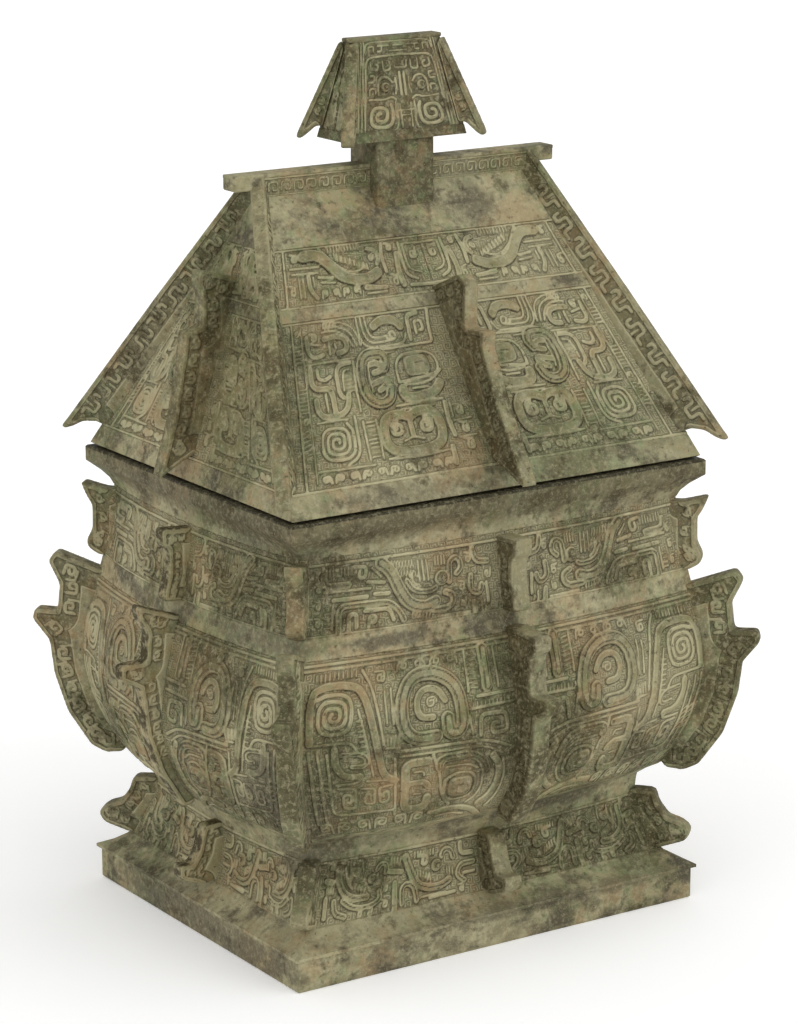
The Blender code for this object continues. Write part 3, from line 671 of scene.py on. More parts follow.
def draw_crest(pen):
    """A crested dragon in the narrow band under the ridge."""
    pen.borders(1, -40, 1020)
    pen.bar(1, 0, -100, 0, 1100)
    # Long plume under a comb of feathers.
    pen.line(4.6, 9, 140, 860, 250, 880, 330, 660, 400, 420, 490, 330, 600, 330, 660, 420)
    pen.line(1.1, 8, 265, 980, 360, 680, 440, 510, 520, 475, 585, 560)
    pen.comb(13, 375, 860, 600, 620, 6, -130, 0.75)
    pen.comb(10, 330, 980, 560, 980, 6, -90, 0.75)
    pen.line(2, 3, 630, 880, 685, 840, 700, 700, 675, 580)
    pen.coil(0.9, 0.5, 645, 700, 45, 140, 1.3)
    pen.line(1.7, 5, 740, 940, 720, 700, 730, 420)
    # Neck and feet by the hip.
    pen.bar(1, 40, 660, 250, 655)
    pen.bar(0.9, 50, 560, 240, 550)
    for u in (95, 125):
        pen.bar(0.9, u, 480, u + 4, 120)
    pen.line(1.9, 3, 165, 480, 167, 260, 210, 80)
    pen.bar(1, 200, 470, 205, 300)
    pen.bar(1.3, 240, 460, 340, 420)
    pen.bar(1, 250, 360, 350, 330)
    pen.curls(1, 0.9, (270, 345, 420, 490), 150, 45, 160)
    pen.curl(1, 0.9, 45, 250, 45, 220)
    pen.curl(1, 0.9, 75, 840, 60, 170)
    pen.bar(2, 560, 170, 700, 140)
    pen.bar(0.9, 560, 60, 700, 50)
    # Head towards the middle flange.
    pen.line(2.4, 5, 835, 720, 815, 400, 830, 140)
    pen.curl(1, 0.9, 775, 240, 45, 240)
    pen.curl(1, 0.9, 790, 860, 50, 150)
    pen.line(1.4, 4, 870, 920, 865, 500, 875, 300, 940, 220)
    pen.line(1, 4, 900, 900, 895, 560, 905, 400, 980, 340)
    pen.curl(1, 0.9, 955, 700, 55, 200, 1.25, 2)
    pen.bar(1, 920, 900, 1030, 890)
    pen.bar(1.6, 880, 120, 1030, 100)


def draw_knob(pen):
    """Paired coils and small eyes on the knob's roof, in a plain frame."""
    for u in (-60, 20):
        pen.bar(0.8, u, 20, u + 50, 1250)
    pen.line(1, 2.5, 100, 30, 130, 930, 220, 985, 1100, 1000)
    pen.line(0.8, 4, 100, 1060, 120, 1170, 1100, 1170)
    pen.coil(1.5, 1, 460, 260, 600, 330, 1.9, 0.25 * pi, -1)
    pen.line(0.9, 2, 830, 420, 850, 140, 800, 70, 300, 50)
    pen.bar(0.9, 920, 400, 940, 100)
    pen.bar(0.8, 840, 310, 1100, 310)
    pen.bar(0.8, 980, 250, 1100, 250)
    pen.line(0.9, 2, 200, 470, 620, 460, 750, 490, 860, 450)
    pen.boss(600, 610, 2.1, 1.9, 0.6, 2, 0.45)
    pen.line(1.1, 2, 440, 520, 420, 660, 520, 740, 700, 730, 800, 660)
    pen.line(0.9, 0.8, 220, 520, 220, 600, 360, 610, 360, 540)
    pen.line(0.9, 0.8, 200, 680, 340, 680, 350, 760, 240, 760)
    pen.line(1, 1.6, 860, 520, 900, 600, 880, 720)
    pen.bar(1.3, 1000, 500, 1000, 780)
    pen.line(1, 0.8, 260, 930, 250, 840, 440, 820, 460, 890, 370, 900)
    pen.line(1, 0.8, 580, 930, 600, 810, 780, 820, 770, 920)
    pen.line(0.9, 0.8, 880, 930, 900, 840, 1100, 840)
    pen.line(0.9, 0.5, 200, 1050, 200, 1120, 340, 1120, 340, 1050)
    pen.bar(0.9, 460, 1120, 800, 1120)
    pen.line(0.9, 0.5, 460, 1050, 580, 1050, 580, 1120)
    pen.bar(0.9, 800, 1050, 1100, 1050)
    pen.bar(0.9, 920, 1120, 1100, 1120)


def draw_meander(pen):
    """Key pattern on the upright wall of the ridge."""
    pen.borders(0.8, 20, 980)
    for left in range(30, 1000, 122):
        right, middle = left + 85, left + 40
        pen.line(0.7, 0.8, left, 280, left, 740, right, 740, right, 300, middle, 300, middle, 520)


# ---- mesh helpers

def clear_selection():
    if bpy.context.mode != "OBJECT":
        bpy.ops.object.mode_set(mode="OBJECT")
    bpy.ops.object.select_all(action="DESELECT")


def apply_modifier(piece, kind, **settings):
    step = piece.modifiers.new(kind.title(), kind)
    for key, value in settings.items():
        setattr(step, key, value)
    bpy.context.view_layer.objects.active = piece
    bpy.ops.object.modifier_apply(modifier=step.name)


def coordinates(mesh):
    co = np.empty(len(mesh.vertices) * 3)
    mesh.vertices.foreach_get("co", co)
    return co.reshape(-1, 3)


def directions(mesh):
    normal = np.empty(len(mesh.vertices) * 3)
    mesh.vertices.foreach_get("normal", normal)
    return normal.reshape(-1, 3)


def set_coordinates(mesh, co):
    mesh.vertices.foreach_set("co", np.ascontiguousarray(co, dtype=np.float32).ravel())
    mesh.update()


def keep_fields(mesh, **fields):
    """Store numbers or flat places on the mesh's points for the materials."""
    for name, values in fields.items():
        kind, key = ("FLOAT", "value") if values.ndim == 1 else ("FLOAT_VECTOR", "vector")
        layer = mesh.attributes.new(name, kind, "POINT")
        layer.data.foreach_set(key, np.ascontiguousarray(values, dtype=np.float32).ravel())


def finish_piece(piece, name, node, finish, smooth_angle=40.0):
    """Name a piece, shade it, give it its finish and put it on the vessel."""
    piece.name = name
    piece.data.name = name
    piece.data.materials.clear()
    piece.data.materials.append(finishes()[finish])
    clear_selection()
    piece.select_set(True)
    bpy.context.view_layer.objects.active = piece
    bpy.ops.object.shade_smooth_by_angle(angle=radians(smooth_angle))
    piece.select_set(False)
    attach(piece, "root")
    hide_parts(node)
    return piece


def copied(piece, matrix):
    """A second piece with a mesh of its own, moved by a matrix."""
    other = piece.copy()
    other.data = piece.data.copy()
    bpy.context.scene.collection.objects.link(other)
    other.data.transform(matrix)
    if matrix.determinant() < 0.0:
        other.data.flip_normals()
    other.data.update()
    return other


# ---- shells and carved walls

def ring(half_x, half_y, bow, steps):
    """One closed level of a four-sided wall, anticlockwise from above."""
    share = -1.0 + 2.0 * np.arange(steps) / steps
    points = []
    for turn in range(4):
        along, across = (half_x, half_y) if turn % 2 == 0 else (half_y, half_x)
        x, y = share * along, -(across + bow * (1.0 - share ** 2))
        for _ in range(turn):
            x, y = -y, x
        points.append(np.stack([x, y], 1))
    return np.concatenate(points)


def shell(levels, steps):
    """A closed casting through levels of (height, half length, half width, bow).

    It starts as a flat cap, which is extruded from level to level. Each side has this many steps.
    """
    clear_selection()
    bpy.ops.mesh.primitive_circle_add(vertices=4 * steps, radius=1.0, fill_type="NGON")
    piece = bpy.context.object
    bpy.ops.object.mode_set(mode="EDIT")
    for index, (height, half_x, half_y, bow) in enumerate(levels):
        if index:
            bpy.ops.mesh.extrude_region_move()
        edit = bmesh.from_edit_mesh(piece.data)
        points = ring(half_x, half_y, bow, steps)
        cap = next(face for face in edit.faces if face.select)
        for corner, (x, y) in zip(cap.loops, points):
            corner.vert.co = Vector((x, y, height)) * UNIT
        bmesh.update_edit_mesh(piece.data)
    bpy.ops.mesh.select_all(action="SELECT")
    bpy.ops.mesh.normals_make_consistent(inside=False)
    bpy.ops.object.mode_set(mode="OBJECT")
    return piece


def span_at(size_at, side, height):
    """Half the width of one wall at each height."""
    half_x, half_y, _ = size_at(height)
    return half_x if side in LONG_SIDES else half_y


def carved_wall(side, panel, shape):
    """A slab that lies on one wall, with the ornament raised on its fine front."""
    low, high = panel.zone
    corner_margin, centre_margin = panel.margins
    cell = min(CELL, (high - low) / 2.0)
    middle = float(span_at(panel.size_at, side, np.array([sum(panel.drawn) / 2.0]))[0])
    width = middle - corner_margin - centre_margin
    levels = np.linspace(*panel.drawn, 60)
    line = wall_point(panel.size_at, side, np.full(len(levels), 0.5), levels)
    height = float(np.linalg.norm(np.diff(line, axis=0), axis=1).sum())

    clear_selection()
    columns = 2 * max(1, ceil(middle / cell))
    rows = max(2, ceil((high - low) / cell))
    bpy.ops.mesh.primitive_grid_add(x_subdivisions=columns, y_subdivisions=rows, size=2.0)
    piece = bpy.context.object
    apply_modifier(piece, "SOLIDIFY", thickness=0.1, offset=-1.0)
    bpy.ops.object.mode_set(mode="EDIT")
    bpy.ops.mesh.select_all(action="DESELECT")
    edit = bmesh.from_edit_mesh(piece.data)
    for face in edit.faces:
        if face.normal.z > 0.5:
            face.select_set(True)
    bmesh.update_edit_mesh(piece.data)
    bpy.ops.mesh.subdivide(number_cuts=max(1, ceil(cell / shape.spacing) - 1))
    bpy.ops.object.mode_set(mode="OBJECT")

    mesh = piece.data
    bake_map(mesh)
    flat = coordinates(mesh)
    across, share = flat[:, 0], (flat[:, 1] + 1.0) / 2.0
    front = flat[:, 2] > -0.05
    levels = low + share * (high - low)
    span = span_at(panel.size_at, side, levels)
    u = (span * (1.0 - np.abs(across)) - corner_margin) / (span - corner_margin - centre_margin)
    v = (levels - panel.drawn[0]) / (panel.drawn[1] - panel.drawn[0])
    pen = Drawing((-8.0, -5.0), (width + 9.0, height + 9.0), (width, height))
    panel.draw(pen)
    edge, cut, dome, bold, tilt = pen.at(u * width, v * height)
    raised = np.clip((edge + 0.5) / 1.1, 0.0, 1.0)
    raised = raised * raised * (3.0 - 2.0 * raised)
    border = np.clip(np.minimum(share, 1.0 - share) * (high - low) / ZONE_STEP, 0.0, 1.0)
    lift = raised * (0.50 + 0.45 * bold) + 0.34 * bold * np.clip(edge, 0.0, 1.8)
    lift = (shape.relief * lift + dome) * border - 0.5 * (1.0 - border)
    lift = np.where(front, lift, -SLAB_DEPTH)
    place = wall_point(panel.size_at, side, across, levels)
    place += wall_normal(panel.size_at, side, across, levels) * lift[:, None]
    set_coordinates(mesh, place * UNIT)
    sheet = np.stack([u * width + (across > 0) * HALF_SHIFT, v * height, 0.0 * u], 1)
    keep_fields(mesh, edge=np.where(front, edge, -FAR), cut=cut, bold=bold, tilt=tilt, flat=sheet)
    return piece


def bake_map(mesh):
    """A map for a slab that is still flat: the front fills the image and the rest lies in strips."""
    count = len(mesh.polygons)
    normal = np.empty(count * 3)
    total = np.empty(count, dtype=np.int32)
    corner = np.empty(len(mesh.loops), dtype=np.int32)
    mesh.polygons.foreach_get("normal", normal)
    mesh.polygons.foreach_get("loop_total", total)
    mesh.loops.foreach_get("vertex_index", corner)
    normal = np.repeat(normal.reshape(-1, 3), total, axis=0)
    spot = coordinates(mesh)[corner]
    across, up = (spot[:, 0] + 1.0) / 2.0, (spot[:, 1] + 1.0) / 2.0
    sunk = np.clip(-spot[:, 2] * 10.0, 0.0, 1.0)
    u = 0.01 + 0.98 * across
    v = 0.01 + 0.90 * up
    v = np.where(normal[:, 2] < -0.5, 0.925 + 0.03 * up, v)
    v = np.where(normal[:, 1] < -0.5, 0.960 + 0.008 * sunk, v)
    v = np.where(normal[:, 1] > 0.5, 0.972 + 0.008 * sunk, v)
    for sign, left in ((-1.0, 0.01), (1.0, 0.51)):
        at_end = normal[:, 0] * sign > 0.5
        u = np.where(at_end, left + 0.45 * up, u)
        v = np.where(at_end, 0.984 + 0.008 * sunk, v)
    layer = mesh.uv_layers.new(name="OFBake")
    layer.uv.foreach_set("vector", np.stack([u, v], 1).astype(np.float32).ravel())


class Panel:
    """A carved zone that goes round the vessel: where it lies and what is drawn on it."""

    def __init__(self, size_at, zone, drawn, margins, draw):
        self.size_at = size_at
        self.zone = zone
        self.drawn = drawn
        self.margins = margins
        self.draw = draw


BODY_PANELS = {
    "foot": Panel(body_size, (20.4, 44.2), (21.0, 43.5), (6.0, 7.0), draw_foot),
    "belly": Panel(body_size, (57.0, 131.0), (58.0, 132.5), (6.0, 7.0), draw_belly),
    "neck": Panel(body_size, (138.8, 168.6), (140.0, 166.5), (6.0, 7.0), draw_neck),
}
ROOF_PANELS = {
    "slope": Panel(roof_size, (193.0, 249.6), (194.5, 249.0), (7.5, 6.0), draw_roof),
    "crest": Panel(roof_size, (253.6, 274.4), (255.0, 273.5), (7.0, 2.0), draw_crest),
}
RIDGE_PANEL = Panel(ridge_size, (292.6, 300.2), (292.8, 300.0), (2.0, 14.0), draw_meander)
KNOB_PANEL = Panel(knob_size, (314.6, 349.0), (312.5, 343.0), (4.0, 1.0), draw_knob)


def sunk_levels(size_at, rows, step, panels):
    """Levels of an outer wall, let in a little where a carved slab lies on it."""
    heights = heights_between(rows, step, panels)
    sunk = 0.0 * heights
    for panel in panels:
        low, high = panel.zone
        inside = np.minimum(heights - low, high - heights) / ZONE_STEP
        sunk = np.maximum(sunk, LET_IN * np.clip(inside, 0.0, 1.0))
    half_x, half_y, bow = size_at(heights)
    steep_x = np.sqrt(1.0 + np.gradient(half_x, heights) ** 2)
    steep_y = np.sqrt(1.0 + np.gradient(half_y, heights) ** 2)
    return list(zip(heights, half_x - sunk * steep_x, half_y - sunk * steep_y, bow))


def heights_between(rows, step, panels=()):
    """The rows of a table, the edges of the carved zones, and even steps between."""
    edges = list(rows)
    for panel in panels:
        low, high = panel.zone
        edges += [low, low + ZONE_STEP, high - ZONE_STEP, high]
    edges = sorted(height for height in edges if rows[0] <= height <= rows[-1])
    found = [edges[0]]
    for height in edges[1:]:
        if height - found[-1] > 0.25:
            pieces = ceil((height - found[-1]) / step)
            start = found[-1]
            found += [start + (height - start) * (i + 1) / pieces for i in range(pieces)]
    return np.array(found)


def make_body():
    """Foot, belly, neck and rim as one casting with its two hollows."""
    def hollow(table, step):
        heights = heights_between(list(table[:, 0]), step)
        half = smooth_at(table, 1, heights)
        return list(zip(heights, half, half - SIDE_DIFFERENCE, smooth_at(table, 2, heights)))

    outside = sunk_levels(body_size, list(BODY[:, 0]), step=3.0, panels=BODY_PANELS.values())
    soft = 0.6
    top, foot = outside[-1], outside[0]
    rim = [(top[0], top[1] - soft, top[2] - soft, 0.0), (top[0] - soft, top[1], top[2], 0.0)]
    base = [(foot[0] + soft, foot[1], foot[2], 0.0), (foot[0], foot[1] - soft, foot[2] - soft, 0.0)]
    levels = hollow(INSIDE, step=5.0) + rim + outside[::-1][1:-1] + base + hollow(UNDER_FOOT, step=6.0)
    return shell(levels, steps=20)


def make_lid():
    """The hollow hipped roof with the rim under it and the upright wall of the ridge."""
    base, eaves_x, eaves_y = EAVES
    rim_x, rim_wall, rim_depth = SEAT_RIM
    rim_y = rim_x - SIDE_DIFFERENCE
    ceiling_x, ceiling_y, _ = roof_size(CEILING)
    low_x, low_y, _ = roof_size(base + 3.0)
    slopes = sunk_levels(roof_size, [base + 1.0, RIDGE_FOOT[0]], step=12.0, panels=ROOF_PANELS.values())
    ridge_x, ridge_y = RIDGE_FOOT[1:]
    levels = [
        (CEILING, ceiling_x - ROOF_WALL[0], ceiling_y - ROOF_WALL[1], 0.0),
        (base + 6.0, low_x - ROOF_WALL[0] - 2.0, low_y - ROOF_WALL[1] - 3.0, 0.0),
        (base + 3.0, rim_x - rim_wall, rim_y - rim_wall, 0.0),
        (base - rim_depth, rim_x - rim_wall, rim_y - rim_wall, 0.0),
        (base - rim_depth, rim_x, rim_y, 0.0),
        (base, rim_x, rim_y, 0.0),
        (base, eaves_x - 2.5, eaves_y - 2.5, 0.0),
    ] + slopes + [
        (RIDGE_PANEL.zone[0] + ZONE_STEP, ridge_x, ridge_y - LET_IN, 0.0),
        (RIDGE_TOP - RIDGE_EDGE / 2.0, ridge_x, ridge_y - LET_IN, 0.0),
    ]
    return shell(levels, steps=4)


def make_block(low, high, soften=0.8):
    """A cast bar with eased edges."""
    clear_selection()
    low, high = Vector(low), Vector(high)
    bpy.ops.mesh.primitive_cube_add(size=1.0)
    piece = bpy.context.object
    for vertex in piece.data.vertices:
        share = vertex.co + Vector((0.5, 0.5, 0.5))
        vertex.co = Vector([low[i] + (high[i] - low[i]) * share[i] for i in range(3)]) * UNIT
    apply_modifier(piece, "BEVEL", width=soften * UNIT, segments=3, limit_method="NONE")
    return piece


# ---- flanges

def root_line(side, low, high, sink=2.2):
    """Points let into the wall's middle or its corner, from the top downwards."""
    heights = np.linspace(high, low, 7)
    half_x, half_y, bow = body_size(heights)
    out = {"long": half_y + bow, "short": half_x + bow, "corner": half_x}[side]
    return [(float(a) - sink, float(b)) for a, b in zip(out, heights)]


def off_centre(side, outer):
    """An outline for the long wall, moved out to stand on this one."""
    out = 0.0 if side == "long" else SIDE_DIFFERENCE
    return [(out + reach, height) for reach, height in outer]


def neck_flange(side):
    """Outer edge and root of a flange with a hook above, a hollow back and a flared foot."""
    if side == "corner":
        outer = [(91.8, 139.0), (95.3, 142.0), (95.8, 145.0), (93.9, 150.0), (93.8, 160.0),
                 (95.6, 164.0), (97.2, 169.6), (90.0, 167.0)]
    else:
        outer = off_centre(side, [
            (84.0, 138.5), (90.5, 139.5), (89.8, 144.0), (88.0, 150.0), (88.0, 159.5),
            (90.8, 161.5), (91.2, 168.3), (80.0, 167.5)])
    return outer, root_line(side, 139.5, 167.0)


def belly_flange(side):
    """Two hooks over a long curved keel; the long wall's hooks sit lower."""
    outer = {
        "corner": [(86.5, 56.0), (91.5, 55.3), (95.8, 58.2), (102.6, 72.0), (106.4, 88.0),
                   (107.6, 102.0), (112.6, 110.8), (111.8, 115.2), (105.0, 114.8),
                   (104.1, 126.0), (107.4, 135.6), (105.2, 139.8), (92.5, 133.4)],
        "long": [(79.0, 54.5), (87.8, 53.4), (97.0, 66.6), (102.4, 82.0), (104.4, 100.6),
                 (112.4, 104.4), (111.6, 109.6), (101.4, 109.2), (100.6, 123.8),
                 (104.3, 127.2), (104.3, 132.8), (87.0, 133.2)],
        "short": [(95.0, 55.6), (100.2, 54.4), (110.0, 70.2), (115.8, 87.0), (118.2, 106.0),
                  (126.8, 110.8), (126.6, 116.4), (115.6, 116.8), (114.6, 128.0),
                  (118.6, 134.6), (118.8, 139.6), (102.0, 133.4)],
    }[side]
    return outer, root_line(side, 59.5, 132.6)


def foot_flange(side):
    """One low hook."""
    if side == "corner":
        outer = [(84.8, 21.4), (92.3, 25.0), (94.0, 28.4), (93.3, 31.0), (91.0, 33.3),
                 (87.4, 34.8), (84.6, 40.0), (83.4, 45.5), (77.6, 46.0)]
    else:
        outer = off_centre(side, [
            (75.5, 20.8), (85.4, 24.8), (85.8, 30.6), (79.6, 30.0), (76.6, 35.0),
            (74.2, 44.9), (66.0, 45.4)])
    return outer, root_line(side, 22.0, 45.0)


def roof_flange(side):
    """Two hooks near the top and a tip that overhangs the rim."""
    if side == "long":
        outer = [(71.0, 195.5), (91.5, 187.8), (90.6, 190.6), (73.5, 217.0), (63.0, 237.4),
                 (64.2, 243.6), (51.4, 243.0), (51.6, 254.0), (51.8, 259.6), (46.8, 263.4),
                 (30.0, 256.4)]
    else:
        outer = [(91.5, 195.5), (106.8, 187.8), (106.0, 190.6), (100.0, 210.0), (95.0, 237.0),
                 (94.4, 243.2), (86.8, 244.6), (86.6, 257.0), (88.4, 260.4), (88.0, 267.0),
                 (72.5, 262.5)]
    root = []
    for height in np.linspace(outer[-1][1], outer[0][1], 5):
        half_x, half_y, _ = roof_size(height)
        root.append(((half_y if side == "long" else half_x) - 2.8, float(height)))
    return outer, root


def hip_frame(eaves, ridge):
    """Foot, outward axis, rising axis and length of the hip at -X and -Y.

    The outward axis is the mean of the normals of the two slopes.
    """
    foot = Vector((-eaves[1], -eaves[2], eaves[0]))
    rise = Vector((-ridge[1], -ridge[2], ridge[0])) - foot
    normal_x = Vector((-rise.z, 0.0, rise.x)).normalized()
    normal_y = Vector((0.0, -rise.z, rise.y)).normalized()
    return foot, normal_x + normal_y, rise, rise.length


def hip_flange(length):
    """Flange along a hip, from the hooked tip up to the ridge."""
    outer = [(2.4, 12.4), (7.0, 8.6), (9.2, 4.0), (11.6, 1.0), (13.2, 1.2),
             (12.8, 5.0), (9.2, length * 0.55), (5.2, length + 3.0), (4.6, length + 9.0)]
    return outer, [(-3.2, length + 5.0), (-3.2, 13.5)]


def knob_hip(length):
    """The same along a hip of the knob."""
    outer = [(1.2, 4.6), (4.6, -0.8), (6.4, -2.6), (7.8, -1.8), (7.4, 1.0), (1.2, length - 1.4)]
    return outer, [(-1.6, length - 3.4), (-1.6, 5.4)]


def along(path, distance):
    """Place and direction at a distance along a path."""
    for start, end in zip(path, path[1:]):
        step = end - start
        if distance <= step.length:
            return start + step.normalized() * distance, step.normalized()
        distance -= step.length
    return path[-1], (path[-1] - path[-2]).normalized()


def gap_to(path, point):
    """Distance from a point to a path."""
    best = 1e9
    for start, end in zip(path, path[1:]):
        step = end - start
        share = max(0.0, min(1.0, (point - start).dot(step) / max(step.length_squared, 1e-9)))
        best = min(best, (point - start - step * share).length)
    return best


def draw_flange(pen, outer, root, size, broad):
    """A plain border, and inside it a sunk strip with a row of hooked scrolls."""
    edge = [Vector(point) for point in outer]
    wall = [Vector(point) for point in root]
    inset, margin = 1.9, 0.8
    pen.edge[:] = 1.5
    pen.sink(outer, inset, inset + size + 2.0 * margin, root, margin)
    every = size * (2.3 if broad else 1.5)
    length = sum((b - a).length for a, b in zip(edge, edge[1:]))
    hook = [(-0.38, -0.38), (-0.38, 0.38), (0.38, 0.38), (0.38, -0.22), (-0.02, -0.22), (-0.02, 0.06)]
    tooth = [(0.62, -0.5), (0.62, 0.18)]
    if broad:
        hook = [(-1.0, 0.38), (-0.42, 0.38), (-0.42, -0.36), (0.42, -0.36), (0.42, 0.38), (0.95, 0.38),
                (0.95, -0.02)]
        tooth = [(0.0, 0.5), (0.0, 0.02)]
    turned = 1.0
    for number in range(int(length / every)):
        spot, way = along(edge, (number + 0.6) * every)
        inward = Vector((-way.y, way.x))
        centre = spot + inward * (inset + margin + size / 2.0)
        if gap_to(edge, centre) < size / 2.0 + 1.6 or gap_to(wall, centre) < size / 2.0 + 1.0:
            continue
        turned = -turned
        for form, width, radius in ((hook, 0.26, 1.0), (tooth, 0.22, 0.8)):
            path = [centre + way * (x * size) + inward * (y * size * turned) for x, y in form]
            pen.stroke(path, size * width, radius)


def cast_plate(outline, thickness, scroll, voxel=0.76, broad=False):
    """A flange lying flat in millimetres, with eased edges and scrolls on both faces."""
    outer, root = outline
    corners = [Vector(point) for point in outer + root]
    seam = corners[-1].lerp(corners[0], 0.5)
    closed = rounded([seam, *corners, seam], 1.6, 4)[:-1]
    clear_selection()
    bpy.ops.mesh.primitive_circle_add(vertices=len(closed), radius=1.0, fill_type="NGON")
    piece = bpy.context.object
    mesh = piece.data
    face = mesh.polygons[0]
    for index, point in zip(face.vertices, closed):
        mesh.vertices[index].co = (point.x, point.y, -thickness / 2.0)
    bpy.ops.object.mode_set(mode="EDIT")
    bpy.ops.mesh.select_all(action="SELECT")
    bpy.ops.mesh.extrude_region_move(TRANSFORM_OT_translate={"value": (0.0, 0.0, thickness)})
    bpy.ops.mesh.select_all(action="SELECT")
    bpy.ops.mesh.normals_make_consistent(inside=False)
    bpy.ops.object.mode_set(mode="OBJECT")
    apply_modifier(piece, "BEVEL", width=1.0, segments=2, limit_method="ANGLE", angle_limit=radians(60.0))
    apply_modifier(piece, "REMESH", mode="VOXEL", voxel_size=voxel)
    apply_modifier(piece, "SMOOTH", factor=0.5, iterations=3)

    mesh = piece.data
    co, normal = coordinates(mesh), directions(mesh)
    pen = Drawing(co.min(0)[:2] - 2.0, co.max(0)[:2] + 2.0)
    draw_flange(pen, outer, root, scroll, broad)
    edge, cut, _, bold, tilt = pen.at(co[:, 0], co[:, 1])
    face = np.clip((np.abs(normal[:, 2]) - 0.45) / 0.3, 0.0, 1.0)
    # arris is 1 on the rounded edges, which the material paints pale: wear, and a painted highlight.
    arris = np.clip(1.0 - np.abs(np.abs(normal[:, 2]) - 0.6) / 0.32, 0.0, 1.0)
    edge = np.where(face > 0.5, edge, 2.0)
    raised = np.clip((edge + 0.4) / 0.8, 0.0, 1.0)
    co[:, 2] -= np.sign(co[:, 2]) * STRIP_DEPTH * (1.0 - raised) * face
    set_coordinates(mesh, co)
    sheet = np.stack([co[:, 0], co[:, 1], 0.0 * co[:, 2]], 1)
    keep_fields(mesh, edge=edge, cut=cut, bold=bold, tilt=tilt, side=face, arris=arris, flat=sheet)
    return piece


def upright(origin, out_axis, up_axis):
    """The matrix that stands a flat plate on the vessel."""
    out_axis, up_axis = Vector(out_axis).normalized(), Vector(up_axis).normalized()
    turn = Matrix([out_axis, up_axis, out_axis.cross(up_axis)]).transposed().to_4x4()
    return Matrix.Scale(UNIT, 4) @ Matrix.Translation(Vector(origin)) @ turn


def joined(pieces):
    """Several shapes of one casting in one mesh."""
    clear_selection()
    for piece in pieces:
        piece.select_set(True)
    bpy.context.view_layer.objects.active = pieces[0]
    bpy.ops.object.join()
    return bpy.context.object


CORNERS = [Matrix.Diagonal((x, y, 1.0, 1.0)) for x, y in ((-1.0, 1.0), (1.0, -1.0), (-1.0, -1.0))]
OPPOSITE = [Matrix.Rotation(pi, 4, "Z")]


def carve(name, sides, panel, node, finish):
    """Put the slabs of one panel on these sides."""
    for side in sides:
        piece = carved_wall(side, panel, bpy.context.scene.fangyi_shape)
        finish_piece(piece, f"{name}_{side}", node, finish, smooth_angle=ALL_SMOOTH)


def set_round(piece, place, others, name, node, finish):
    """Stand a flange on the vessel, with its copies at the other corners or the opposite wall."""
    piece.data.transform(place)
    pieces = [piece] + [copied(piece, matrix) for matrix in others]
    for number, casting in enumerate(pieces):
        finish_piece(casting, f"{name}_{number + 1}", node, finish, smooth_angle=60.0)


# ---- materials

class Value:
    """A number that varies over a surface; sums on it add Math nodes."""

    def __init__(self, nodes, socket):
        self.nodes = nodes
        self.socket = socket

    def math(self, operation, *others):
        return self.nodes.add("ShaderNodeMath", {"operation": operation}, {
            index: value for index, value in enumerate((self, *others))})

    def __add__(self, other):
        return self.math("ADD", other)

    def __sub__(self, other):
        return self.math("SUBTRACT", other)

    def __mul__(self, other):
        return self.math("MULTIPLY", other)

    def __truediv__(self, other):
        return self.math("DIVIDE", other)

    def __rsub__(self, other):
        return self.nodes.add("ShaderNodeMath", {"operation": "SUBTRACT"}, {0: other, 1: self})

    __radd__ = __add__
    __rmul__ = __mul__

    def step(self, low, high):
        """0 below low, 1 above high, with a soft passage; high may be the smaller."""
        return self.nodes.add("ShaderNodeMapRange", {"interpolation_type": "SMOOTHSTEP"}, {
            "Value": self, "From Min": low, "From Max": high, "To Min": 0.0, "To Max": 1.0}, "Result")


class Nodes:
    """The nodes of one material."""

    def __init__(self, name):
        self.material = bpy.data.materials.new(name)
        self.material.use_nodes = True
        self.tree = self.material.node_tree
        self.shader = self.tree.nodes["Principled BSDF"]

    def add(self, kind, settings, inputs, output=0):
        """A node with its settings, then the values or links of its sockets."""
        node = self.tree.nodes.new(kind)
        for key, value in settings.items():
            setattr(node, key, value)
        for key, value in inputs.items():
            self.feed(node.inputs[key], value)
        return Value(self, node.outputs[output])

    def feed(self, socket, value):
        if isinstance(value, Value):
            self.tree.links.new(value.socket, socket)
        elif isinstance(value, (tuple, list)) and len(value) == 3 and socket.type == "RGBA":
            socket.default_value = (*value, 1.0)
        else:
            socket.default_value = value

    def noise(self, place, scale, detail=3.0, roughness=0.55, shift=0.0, stretch=(1.0, 1.0, 1.0)):
        """Cloudy values from 0 to 1; shift gives another part of the same cloud."""
        place = self.add("ShaderNodeVectorMath", {"operation": "MULTIPLY_ADD"}, {
            0: place, 1: stretch, 2: (shift, 0.7 * shift, 0.3 * shift)})
        return self.add("ShaderNodeTexNoise", {}, {
            "Vector": place, "Scale": scale, "Detail": detail, "Roughness": roughness}, "Fac")

    def surface(self, **values):
        """Set inputs of the shader, with underscores for the spaces of their names."""
        for name, value in values.items():
            self.feed(self.shader.inputs[name.replace("_", " ")], value)

    def mix(self, factor, first, second):
        node = self.tree.nodes.new("ShaderNodeMix")
        node.data_type = "RGBA"
        self.feed(node.inputs["Factor"], factor)
        self.feed(node.inputs[6], first)
        self.feed(node.inputs[7], second)
        return Value(self, node.outputs[2])

    def field(self, name, output="Fac"):
        return self.add("ShaderNodeAttribute", {"attribute_name": name}, {}, output)

    def split(self, vector):
        node = self.tree.nodes.new("ShaderNodeSeparateXYZ")
        self.feed(node.inputs[0], vector)
        return [Value(self, node.outputs[i]) for i in range(3)]


